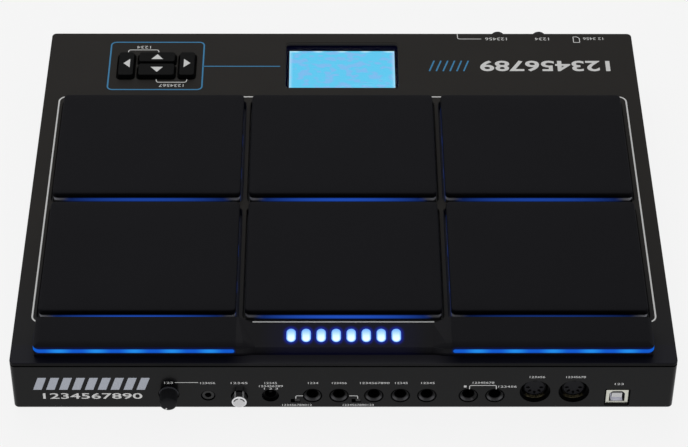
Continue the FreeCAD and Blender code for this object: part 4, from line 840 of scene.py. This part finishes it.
class Print:
    """Prints of one ink on one face of the object, gathered in that face's flat frame."""

    def __init__(self, name, material, to_world, text_up=1.0):
        self.name = name
        self.material = material
        self.to_world = to_world
        self.text_up = text_up
        self.shape = bmesh.new()

    def add(self, mesh, place):
        """Take in a mesh, each vertex moved by this function to (across, along, height)."""
        for vertex in mesh.vertices:
            vertex.co = place(vertex.co)
        self.shape.from_mesh(mesh)
        bpy.data.meshes.remove(mesh)

    def ring(self, across, along, radius, width):
        """Round band of ink about a spot, in millimetres."""
        turns = [math.pi * k / 18.0 for k in range(36)]
        self.line([(across + radius * math.cos(turn), along + radius * math.sin(turn)) for turn in turns],
                  width, closed=True)

    def box(self, left, lower, right, upper, width, corner):
        """Closed box of ink with rounded corners, in millimetres."""
        self.line([(left, lower), (right, lower), (right, upper), (left, upper)], width, corner, closed=True)

    def line(self, points, width, corner=0.0, closed=False):
        """Band of ink through points in millimetres."""
        prints = bpy.context.scene.pad_prints
        mesh = bpy.data.meshes.new("run")
        edges = [(k, k + 1) for k in range(len(points) - 1)]
        if closed:
            edges.append((len(points) - 1, 0))
        mesh.from_pydata([(a * MM, b * MM, 0.0) for a, b in points], edges, [])
        made = grown(mesh, bpy.data.node_groups.get("ink line") or ink_line_tree(), {
            "Width": width * MM, "Thickness": prints.rise + prints.sink, "Corner": corner * MM,
            "Finish": self.material})
        middle = (prints.rise - prints.sink) / 2.0
        self.add(made, lambda p: Vector((p.x, p.y, p.z + middle)))

    def patch(self, points):
        """Flat patch of ink on an outline in millimetres."""
        prints = bpy.context.scene.pad_prints
        loops = [[(a * MM, b * MM, high) for a, b in points] for high in (-prints.sink, prints.rise)]
        self.add(skin(loops), lambda p: p)

    def numerals(self, text, across, along, width, height, weight=0.0):
        """Plain numerals, centred on a spot and fitted to a width and height, in millimetres."""
        prints = bpy.context.scene.pad_prints
        curve = bpy.data.curves.new("numerals", "FONT")
        curve.body = text
        curve.offset = weight
        curve.extrude = 0.5
        curve.resolution_u = 4
        mesh = plain_mesh(linked("numerals", curve))
        xs = [vertex.co.x for vertex in mesh.vertices]
        ys = [vertex.co.y for vertex in mesh.vertices]
        wide = width * MM / (max(xs) - min(xs))
        tall = height * MM / (max(ys) - min(ys))
        mid_x = (max(xs) + min(xs)) / 2.0
        mid_y = (max(ys) + min(ys)) / 2.0
        thickness = prints.rise + prints.sink
        self.add(mesh, lambda p: Vector((across * MM + (p.x - mid_x) * wide,
                                         along * MM + self.text_up * (p.y - mid_y) * tall,
                                         (p.z + 0.5) * thickness - prints.sink)))

    def finish(self, body, slot):
        mesh = bpy.data.meshes.new(self.name)
        self.shape.to_mesh(mesh)
        self.shape.free()
        for vertex in mesh.vertices:
            vertex.co = self.to_world(vertex.co)
        return finished_piece(self.name, mesh, self.material, body)


def lid_place(height):
    """Frame of a flat print on top: (x, depth from the connector wall, height over this z)."""
    return lambda p: Vector((p.x, WALL_Y - p.y, height + p.z))


def face_place(y):
    """Frame of a print on a flat face that looks out of the connector wall at this y."""
    return lambda p: Vector((-p.x, y + p.z, LID_Z + p.y))


def wall_place(p):
    """Frame of a print on the connector wall, seen from outside: (right, height over the lid, out)."""
    rounding = bpy.context.scene.pad_prints.tub_round
    below = max(0.0, TUB_Z + rounding - (LID_Z + p.y))
    sunk = rounding - math.sqrt(max(0.0, rounding * rounding - below * below))
    return Vector((-p.x, WALL_Y + p.z - sunk, LID_Z + p.y))


# Operators

class PAD_OT_stage(bpy.types.Operator):
    """Pale floor, soft light and the camera"""
    bl_idname = "drumpad.stage"
    bl_label = "Stage"

    LAMP_PLACE = Vector((0.25, -0.75, 1.5))
    LAMP_SIZE = 1.4

    def execute(self, context):
        scene = context.scene
        stage = scene.pad_stage
        scene.view_settings.view_transform = "Standard"
        self.floor(stage)
        self.surroundings(scene, stage)
        self.lamp(stage)
        self.camera(scene, stage)
        return {"FINISHED"}

    def floor(self, stage):
        half = stage.floor_half
        mesh = bpy.data.meshes.new("floor")
        outline = [(-half, -half, 0.0), (half, -half, 0.0), (half, half, 0.0), (-half, half, 0.0)]
        mesh.from_pydata(outline, [], [(0, 1, 2, 3)])
        finish = Finish("floor")
        pale = paint(stage.floor_colour)
        glow = finish.node("ShaderNodeEmission", inputs={"Color": pale, "Strength": 1.0})
        matt = finish.node("ShaderNodeBsdfDiffuse", inputs={"Color": pale})
        mixed = finish.node("ShaderNodeMixShader", inputs={0: stage.floor_glow, 1: matt, 2: glow})
        finish.node("ShaderNodeOutputMaterial", inputs={"Surface": mixed})
        mesh.materials.append(finish.material)
        linked("floor", mesh)

    def surroundings(self, scene, stage):
        scene.world = bpy.data.worlds.new("studio")
        scene.world.use_nodes = True
        graph = Graph(scene.world.node_tree)
        graph.tree.nodes.clear()
        rays = graph.node("ShaderNodeLightPath").socket.node.outputs
        straight, glossy, clear = [Signal(graph, rays["Is %s Ray" % kind]) for kind in (
            "Camera", "Glossy", "Transmission")]
        seen = straight + glossy + clear
        level = seen.math("MINIMUM", seen, 1.0) * (1.0 - stage.world_light) + stage.world_light
        sky = graph.node("ShaderNodeBackground", inputs={
            "Color": paint(stage.world_colour), "Strength": level})
        graph.node("ShaderNodeOutputWorld", inputs={"Surface": sky})

    def lamp(self, stage):
        """Square lamp that looks at the origin."""
        light = bpy.data.lights.new("overhead", "AREA")
        light.energy = stage.lamp_power
        light.size = self.LAMP_SIZE
        lamp = linked("overhead", light)
        lamp.location = self.LAMP_PLACE
        lamp.rotation_euler = (-self.LAMP_PLACE).to_track_quat("-Z", "Y").to_euler()

    def camera(self, scene, stage):
        lens = bpy.data.cameras.new("camera")
        lens.sensor_width = 36.0
        lens.lens = stage.focal / MM
        lens.clip_end = 50.0
        camera = linked("camera", lens)
        place = Matrix.Translation((stage.camera_side, WALL_Y + stage.camera_back, LID_Z + stage.camera_up))
        heading = Matrix.Rotation(math.pi - stage.camera_yaw, 4, "Z")
        tilt = Matrix.Rotation(math.pi / 2.0 - stage.camera_pitch, 4, "X")
        roll = Matrix.Rotation(-stage.camera_roll, 4, "Z")
        camera.matrix_world = place @ heading @ tilt @ roll
        scene.camera = camera


def dress(nodes, material):
    """Give carried-over nodes a finish."""
    for name in nodes:
        NODES[name].data.materials.clear()
        NODES[name].data.materials.append(material)


class PAD_OT_case(bpy.types.Operator):
    """Finishes of the lid, the tub, the raised rim and the feet"""
    bl_idname = "drumpad.case"
    bl_label = "Case"

    def execute(self, context):
        shell = context.scene.pad_shell
        dress(["top_cover"], moulded("lid_satin", shell.lid, roughness=0.5, specular=0.07, extra=lid_shade))
        dress(["bottom_case"], moulded("tub_satin", shell.tub, roughness=0.2, specular=0.15, relief=0.3))
        dress(["rim_housing"], moulded("rim_satin", shell.rim, roughness=0.5, specular=0.06, extra=rim_painted_glow))
        dress(["edge_pad_left", "edge_pad_right"], rubber("edge_rubber", rim_painted_glow))
        dress(["rubber_feet"], moulded("foot_finish", (0.018, 0.018, 0.018), roughness=0.8, specular=0.2,
                                       grain=1.5, relief=2.0))
        return {"FINISHED"}


class PAD_OT_pads(bpy.types.Operator):
    """Six playing pads with rounded edges and a slight crown"""
    bl_idname = "drumpad.pads"
    bl_label = "Pads"

    def execute(self, context):
        playing = rubber("playing_rubber")
        for name in PAD_NAMES:
            mesh = self.mesh(context.scene.pad_fittings, *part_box(name))
            pad = finished_piece(name + "_rubber", mesh, playing, "strike_" + name,
                                 crease=50.0)
            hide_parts(name)
        dress([name.replace("_", "_plate_") for name in PAD_NAMES],
              metal("drawn_steel", STEEL, roughness=0.35, stretch=(0.05, 1.0, 1.0)))
        dress(["pad_foams"], foam_finish())
        dress(["pad_tray"], moulded("tray_black", (0.03, 0.03, 0.03), roughness=0.6, specular=0.4))
        dress(["pad_sensors"], metal("disc_brass", (0.72, 0.52, 0.22), roughness=0.3))
        return {"FINISHED"}

    def mesh(self, sizes, low, high):
        """Pad from its underside up: a small chamfer, the rounded edge, and a crown that rises inwards."""
        middle = (low + high) / 2.0
        half = (high - low) / 2.0
        edge = high.z - sizes.pad_crown
        chamfer = 0.15 * MM
        crown_reach = 22.0 * MM
        crown_steps = 5
        levels = [(0.8 * MM, low.z), (chamfer, low.z), (0.0, low.z + chamfer)]
        levels += [(inset, edge - drop) for inset, drop in quarter(sizes.pad_round)]
        for part in [k / crown_steps for k in range(1, crown_steps + 1)]:
            levels.append((sizes.pad_round + crown_reach * part,
                           edge + sizes.pad_crown * math.sin(math.pi / 2.0 * part)))
        loops = []
        for inset, z in levels:
            corner = max(sizes.pad_corner - inset, 1.5 * MM)
            outline = rounded_rectangle(half.x - inset, half.y - inset, corner)
            loops.append([(middle.x + x, middle.y + y, z) for x, y in outline])
        return skin(loops)


class PAD_OT_lights(bpy.types.Operator):
    """Lit rings, edge strips and centre lamps"""
    bl_idname = "drumpad.lights"
    bl_label = "Lights"

    def execute(self, context):
        dress(["light_rings"], lit_ring_finish())
        dress(["edge_strip_left", "edge_strip_right"], lit_strip_finish())
        dress(["rim_centre_light"], lamp_finish())
        return {"FINISHED"}


class PAD_OT_display(bpy.types.Operator):
    """Display and its window"""
    bl_idname = "drumpad.display"
    bl_label = "Display"

    def execute(self, context):
        dress(["display_module"], screen_finish())
        dress(["display_window"], glass_finish())
        return {"FINISHED"}


class PAD_OT_keys(bpy.types.Operator):
    """Four keys with printed arrows"""
    bl_idname = "drumpad.keys"
    bl_label = "Keys"

    # Corners in millimetres: across from the case's middle, and from the connector wall
    ARROWS = {
        "right": [(133.8, 254.4), (129.8, 250.3), (129.8, 258.5)],
        "down": [(113.3, 263.1), (117.0, 258.4), (109.75, 258.4)],
        "up": [(113.0, 245.9), (109.5, 250.8), (117.0, 250.8)],
        "left": [(92.8, 254.5), (96.9, 258.5), (96.9, 250.4)],
    }

    def execute(self, context):
        shell = context.scene.pad_shell
        prints = context.scene.pad_prints
        gloss = moulded("key_gloss", shell.keys, roughness=0.4, specular=0.03, grain=1.4, relief=0.25)
        white = ink("key_ink", prints.white)
        for side, arrow in self.ARROWS.items():
            dress(["key_" + side], gloss)
            mark = Print("key_%s_arrow" % side, white, lid_place(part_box("key_" + side)[1].z))
            mark.patch(arrow)
            mark.finish("key_%s_cap" % side, "key_plastic")
        return {"FINISHED"}


class PAD_OT_knobs(bpy.types.Operator):
    """Three volume knobs with fine flutes and a white mark, and the power button"""
    bl_idname = "drumpad.knobs"
    bl_label = "Knobs"

    POINTER_TURN = math.radians(203.0)
    STEPS_ROUND = 96
    CREASE = 40.0
    MARKED = slice(7, -2)

    def execute(self, context):
        shell = context.scene.pad_shell
        sizes = context.scene.pad_fittings
        satin = moulded("knob_satin", shell.knobs, roughness=0.5, specular=0.06, grain=0.7, extra=knob_root_painted_highlight)
        white = ink("pointer_ink", context.scene.pad_prints.white)
        for name in ("aux", "phones", "main"):
            low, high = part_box(name + "_knob")
            outward = 1.0 if name == "aux" else -1.0
            reach = high.y - low.y
            place = self.frame(low, high, outward)
            profile = self.profile((high.x - low.x) / 2.0, reach)
            knob = skin(self.turned(sizes, profile, reach))
            mark = skin(self.pointer(sizes.pointer / 2.0, profile))
            knob.transform(place)
            mark.transform(place)
            body = name + "_volume"
            piece = finished_piece(name + "_knob_cap", knob, satin, body, self.CREASE)
            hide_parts(name + "_knob")
            finished_piece(name + "_knob_mark", mark, white, body, self.CREASE)
        dress(["aux_shaft", "phones_shaft", "main_shaft"], metal("bright_steel", STEEL, roughness=0.3))
        dress(["power_button"], button_finish())
        return {"FINISHED"}

    def frame(self, low, high, outward):
        """Stand a knob, built along Z, on its wall; its local Y stays up."""
        middle = (low + high) / 2.0
        base_y = low.y if outward > 0.0 else high.y
        columns = Matrix(((-outward, 0.0, 0.0), (0.0, 0.0, outward), (0.0, 1.0, 0.0))).to_4x4()
        return Matrix.Translation((middle.x, base_y, (low.z + high.z) / 2.0)) @ columns

    def profile(self, radius, reach):
        """(radius, height) points of a knob: a collar, the grip's end, its rounding and the flat tip."""
        tip = radius - 0.45 * MM
        rounding = 1.6 * MM
        points = [(radius - 0.3 * MM, 0.0), (radius, 0.25 * MM), (radius, 0.7 * MM),
                  (radius - 0.12 * MM, 1.1 * MM)]
        points += [(tip - inset, reach - drop - 0.12 * MM) for inset, drop in quarter(rounding)]
        points += [(tip - rounding - 0.8 * MM, reach - 0.05 * MM), (1.6 * MM, reach), (0.4 * MM, reach)]
        return points

    def turned(self, sizes, profile, reach):
        """Loops of the profile turned about Z, with flutes along the grip."""
        loops = []
        for radius, height in profile:
            depth = sizes.flute_depth if MM < height < reach - MM else 0.0
            loop = []
            for k in range(self.STEPS_ROUND):
                turn = 2.0 * math.pi * k / self.STEPS_ROUND
                out = radius - depth * (0.5 - 0.5 * math.cos(sizes.knob_flutes * turn))
                loop.append((out * math.cos(turn), out * math.sin(turn), height))
            loops.append(loop)
        return loops

    def pointer(self, half, profile):
        """Loops of a thin bar that follows the knob's end and turns over its edge."""
        turn = math.pi / 2.0 - self.POINTER_TURN
        out = Vector((math.cos(turn), math.sin(turn), 0.0))
        side = Vector((-out.y, out.x, 0.0)) * half
        lift = (out * 0.7 + Vector((0.0, 0.0, 0.7))) * 0.05 * MM
        loops = []
        for radius, height in profile[self.MARKED]:
            base = out * radius + Vector((0.0, 0.0, height))
            loops.append([base - side - lift, base + side - lift, base + side + lift, base - side + lift])
        return loops


class PAD_OT_sockets(bpy.types.Operator):
    """Finishes of the sockets, with painted shade in the gaps round them and in the contact slots of the
    round ones
    """
    bl_idname = "drumpad.sockets"
    bl_label = "Sockets"

    def execute(self, context):
        shell = context.scene.pad_shell
        dress(["jack_sockets"], self.plastic("collar_black", shell.collars, 0.4, 0.12, collar_painted_light))
        dress(["aux_socket"], self.plastic("aux_black", shell.collars, 0.3, 0.3))
        dress(["dc_socket"], self.plastic("socket_black", shell.sockets, 0.4, 0.06))
        dress(["midi_sockets"], din_finish())
        dress(["midi_inserts"], self.plastic("insert_black", shell.insert, 0.4, 0.1))
        self.paint_gap_shade()
        dress(["usb_socket"], usb_finish())
        dress(["card_socket"], metal("card_metal", (0.6, 0.6, 0.6), roughness=0.3))
        dress(["power_switch", "slide_switches", "key_switches", "volume_pots"],
              moulded("switch_black", NEAR_BLACK, roughness=0.5, specular=0.4))
        dress(["kick_switch_lever", "hihat_switch_lever"],
              moulded("lever_black", (0.012, 0.012, 0.012), roughness=0.4, specular=0.4))
        return {"FINISHED"}

    def plastic(self, name, base, roughness, specular, extra=None):
        """Fine-grained plastic of the sockets."""
        return moulded(name, base, roughness, specular, grain=0.8, relief=0.5, extra=extra)

    def paint_gap_shade(self):
        """Painted shade: dark rings round the collars, dark slots on the DIN inserts and a dark band round
        the square socket, standing in for the shade in gaps and holes.
        """
        # Painted shade: black ink where gaps and holes would lie in shade.
        black = moulded("gap_black", (0.0006, 0.0006, 0.0008), roughness=0.6, specular=0.02)
        for node, radius, width in (("jack_sockets", 4.85, 0.65), ("aux_socket", 3.5, 0.5)):
            rings = Print(node + "_gap", black, face_place(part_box(node)[1].y))
            for low, high in solid_boxes(node):
                if high.y > 0.0:
                    level = low.z + (high.x - low.x) / 2.0 - LID_Z
                    rings.ring(-(low.x + high.x) / 2.0 / MM, level / MM, radius, width)
            rings.finish("frame", "socket_plastic")
        self.paint_slot_shade(black)
        low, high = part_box("usb_socket")
        gap = Print("usb_gap", black, wall_place)
        width, reach = 0.6, 6.05
        left, right = -high.x / MM - width, -low.x / MM + width
        level = (low.z + USB_MIDDLE - LID_Z) / MM
        gap.box(left, level - reach, right, level + reach, width, corner=0.8)
        gap.finish("frame", "case_plastic")

    def paint_slot_shade(self, black):
        """Painted shade: five dark slots in a half circle, a dark key and a dark ring on each of the two
        round inserts, standing in for the shade in holes and gaps.
        """
        low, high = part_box("midi_inserts")
        slots = Print("midi_slots", black, face_place(high.y))
        radius = (high.z - low.z) / 2.0
        level = ((low.z + high.z) / 2.0 - LID_Z) / MM
        for middle in ((-low.x - radius) / MM, (-high.x + radius) / MM):
            for k in range(5):
                turn = math.pi * (1.0 + k / 4.0)
                slots.line([(middle + math.cos(turn) * reach, level + math.sin(turn) * reach)
                            for reach in (2.6, 4.8)], width=1.0)
            slots.line([(middle - 1.1, level + 5.2), (middle + 1.1, level + 5.2)], width=0.9)
            slots.ring(middle, level, 5.75, 0.5)
        slots.finish("frame", "socket_plastic")


class PAD_OT_lid_prints(bpy.types.Operator):
    """White and blue prints on the lid, in millimetres"""
    bl_idname = "drumpad.lid_prints"
    bl_label = "Lid prints"

    # Numerals, across, from the connector wall, width, height and extra weight
    NUMERALS = [
        ("123456789", -124.45, 255.2, 79.7, 10.4, 0.022), ("1234", 122.4, 273.45, 8.6, 2.6),
        ("1234567", 103.9, 236.1, 15.0, 2.6), ("123456", -95.65, 281.95, 13.5, 2.7),
        ("1234", -124.25, 281.95, 8.7, 2.7), ("12 3456", -156.05, 282.3, 12.5, 2.5),
    ]
    THIN_STROKES = 6
    STROKE_PITCH = 4.2

    def execute(self, context):
        prints = context.scene.pad_prints
        place = lid_place(LID_Z)
        white = Print("lid_white_print", ink("white_ink", prints.white), place, text_up=-1.0)
        white.line([(-49.6, 31.7), (49.8, 31.7)], width=0.9)
        white.line([(-160.0, 31.7), (-171.25, 31.7), (-171.25, 225.3), (170.55, 225.3), (170.55, 31.7),
                    (160.0, 31.7)], width=0.9, corner=4.4)
        white.line([(131.8, 268.2), (131.4, 270.8), (113.2, 270.8), (112.9, 268.2)], width=0.55, corner=1.4)
        white.line([(113.3, 242.1), (112.9, 239.2), (95.0, 239.2), (94.5, 242.0)], width=0.55, corner=1.4)
        white.line([(-71.8, 286.8), (-71.9, 281.9), (-86.5, 281.9)], width=0.5, corner=1.4)
        white.line([(-143.7, 278.5), (-143.7, 284.1), (-146.0, 284.1), (-147.5, 282.6), (-147.5, 278.5)],
                   width=0.5, corner=0.4, closed=True)
        for numerals in self.NUMERALS:
            white.numerals(*numerals)
        white.finish("frame", "lid_plastic")
        blue = Print("lid_blue_print", ink("blue_ink", prints.blue), place, text_up=-1.0)
        blue.box(85.2, 232.2, 142.5, 278.4, width=0.9, corner=3.0)
        blue.line([(38.0, 254.7), (85.2, 254.7)], width=0.8)
        for k in range(self.THIN_STROKES):
            foot = -77.6 + self.STROKE_PITCH * k
            blue.line([(foot, 260.3), (foot + 3.2, 250.1)], width=0.95)
        blue.finish("frame", "lid_plastic")
        return {"FINISHED"}


class PAD_OT_wall_prints(bpy.types.Operator):
    """Silver bars, plain numerals and thin lines on the connector wall, in millimetres"""
    bl_idname = "drumpad.wall_prints"
    bl_label = "Wall prints"

    # How many numerals, across to the right, height over the lid and width
    LABELS = [
        (3, -94.8, -15.0, 4.7), (6, -73.6, -15.2, 8.1), (5, -56.6, -15.2, 9.1), (5, -39.5, -15.2, 6.8),
        (9, -39.4, -17.6, 13.0), (4, -16.5, -15.2, 5.6), (6, -2.3, -15.2, 8.0),
        (10, 16.9, -15.2, 16.0), (5, 31.3, -15.2, 6.8), (5, 45.7, -15.2, 7.3), (8, 75.8, -15.0, 11.7),
        (1, 66.0, -17.9, 1.4), (6, 89.0, -18.0, 10.0), (6, 104.8, -10.6, 8.4), (8, 125.7, -10.6, 10.6),
        (3, 149.5, -16.0, 4.9), (12, -25.4, -32.4, 16.2), (13, 8.1, -32.4, 16.9),
    ]
    LABEL_HEIGHT = 1.5
    LABEL_WEIGHT = 0.006
    SLANTED_BARS = 9
    BAR_PITCH = 7.0

    def execute(self, context):
        prints = context.scene.pad_prints
        white = Print("wall_white_print", ink("wall_white_ink", prints.wall), wall_place)
        for count, across, high, width in self.LABELS:
            digits = "".join(str((k + 1) % 10) for k in range(count))
            white.numerals(digits, across, high, width, self.LABEL_HEIGHT, self.LABEL_WEIGHT)
        white.numerals("1 2 3", -39.4, -19.55, width=7.6, height=1.4)
        white.line([(-91.4, -14.8), (-78.8, -14.8)], width=0.4)
        white.line([(68.4, -20.0), (68.4, -17.1), (82.9, -17.1), (82.9, -20.0)], width=0.45, corner=0.8)
        white.line([(-22.1, -25.2), (-26.0, -25.2), (-26.0, -27.4)], width=0.45, corner=0.8)
        white.line([(3.0, -25.2), (7.7, -25.2), (7.7, -27.4)], width=0.45, corner=0.8)
        white.finish("frame", "case_plastic")
        row = Print("wall_number_row", ink("number_row_ink", prints.white), wall_place)
        row.numerals("1234567890", -136.5, -25.3, width=54.0, height=4.4, weight=0.012)
        row.finish("frame", "case_plastic")
        silver = Print("wall_silver_bars", ink("silver_ink", prints.silver), wall_place)
        for k in range(self.SLANTED_BARS):
            left = -168.5 + self.BAR_PITCH * k
            silver.patch([(left, -20.4), (left + 4.6, -20.4), (left + 7.7, -11.2), (left + 3.1, -11.2)])
        silver.finish("frame", "case_plastic")
        return {"FINISHED"}


class PAD_OT_fixings(bpy.types.Operator):
    """Case screws with painted dark crosses standing in for the shade of a cross recess, board screws and
    threaded inserts
    """
    bl_idname = "drumpad.fixings"
    bl_label = "Fixings"

    def execute(self, context):
        dress(["board_screws", "case_screws"],
              metal("black_screw", (0.06, 0.06, 0.062), roughness=0.35))
        self.paint_recess_shade()
        dress(["stand_inserts"],
              metal("turned_brass", (0.62, 0.44, 0.18), roughness=0.3, stretch=(1.0, 1.0, 0.1)))
        return {"FINISHED"}

    def paint_recess_shade(self):
        """Painted shade: a dark cross on the head of each case screw, standing in for the shade in its cross
        recess.
        """
        long, wide, thin = 1.6 * MM, 0.35 * MM, 0.03 * MM
        outline = [(wide, wide), (wide, long), (-wide, long), (-wide, wide), (-long, wide), (-long, -wide),
                   (-wide, -wide), (-wide, -long), (wide, -long), (wide, -wide), (long, -wide), (long, wide)]
        cross = skin([[(x, y, z) for x, y in outline] for z in (-thin, thin)])
        screws = solid_boxes("case_screws")
        spots = [((low.x + high.x) / 2.0, (low.y + high.y) / 2.0, low.z) for low, high in screws]
        # Painted shade: a flat black cross in place of a real recess.
        dark = moulded("recess_black", (0.002, 0.002, 0.002), roughness=0.7, specular=0.1)
        finished_piece("case_screw_recesses", repeated(cross, spots, dark), dark, "frame")


class PAD_OT_inside(bpy.types.Operator):
    """Finishes of the boards and flat cables inside"""
    bl_idname = "drumpad.inside"
    bl_label = "Inside"

    def execute(self, context):
        dress(["main_board", "io_boards", "front_boards", "led_boards"], board_finish())
        dress(["ribbon_cables"], ribbon_finish())
        return {"FINISHED"}


# Panel and registration

STEPS = (PAD_OT_stage, PAD_OT_case, PAD_OT_pads, PAD_OT_lights, PAD_OT_display, PAD_OT_keys, PAD_OT_knobs,
         PAD_OT_sockets, PAD_OT_lid_prints, PAD_OT_wall_prints, PAD_OT_fixings, PAD_OT_inside)
SETTINGS = {"pad_stage": StageSettings, "pad_shell": ShellSettings, "pad_glow": GlowSettings,
            "pad_prints": PrintSettings, "pad_fittings": FittingSettings}


class PAD_PT_builder(bpy.types.Panel):
    """Lists the steps that build the drum pad"""
    bl_idname = "PAD_PT_builder"
    bl_label = "Drum Pad"
    bl_space_type = "VIEW_3D"
    bl_region_type = "UI"
    bl_category = "Drum Pad"

    def draw(self, context):
        for step in STEPS:
            self.layout.operator(step.bl_idname)


def register():
    for group in (*SETTINGS.values(), *STEPS, PAD_PT_builder):
        bpy.utils.register_class(group)
    for name, group in SETTINGS.items():
        setattr(bpy.types.Scene, name, PointerProperty(type=group))


def unregister():
    for name in SETTINGS:
        delattr(bpy.types.Scene, name)
    for group in reversed((*SETTINGS.values(), *STEPS, PAD_PT_builder)):
        bpy.utils.unregister_class(group)


def main():
    register()
    for step in STEPS:
        group, name = step.bl_idname.split(".")
        getattr(getattr(bpy.ops, group), name)()


if __name__ == "__main__":
    main()
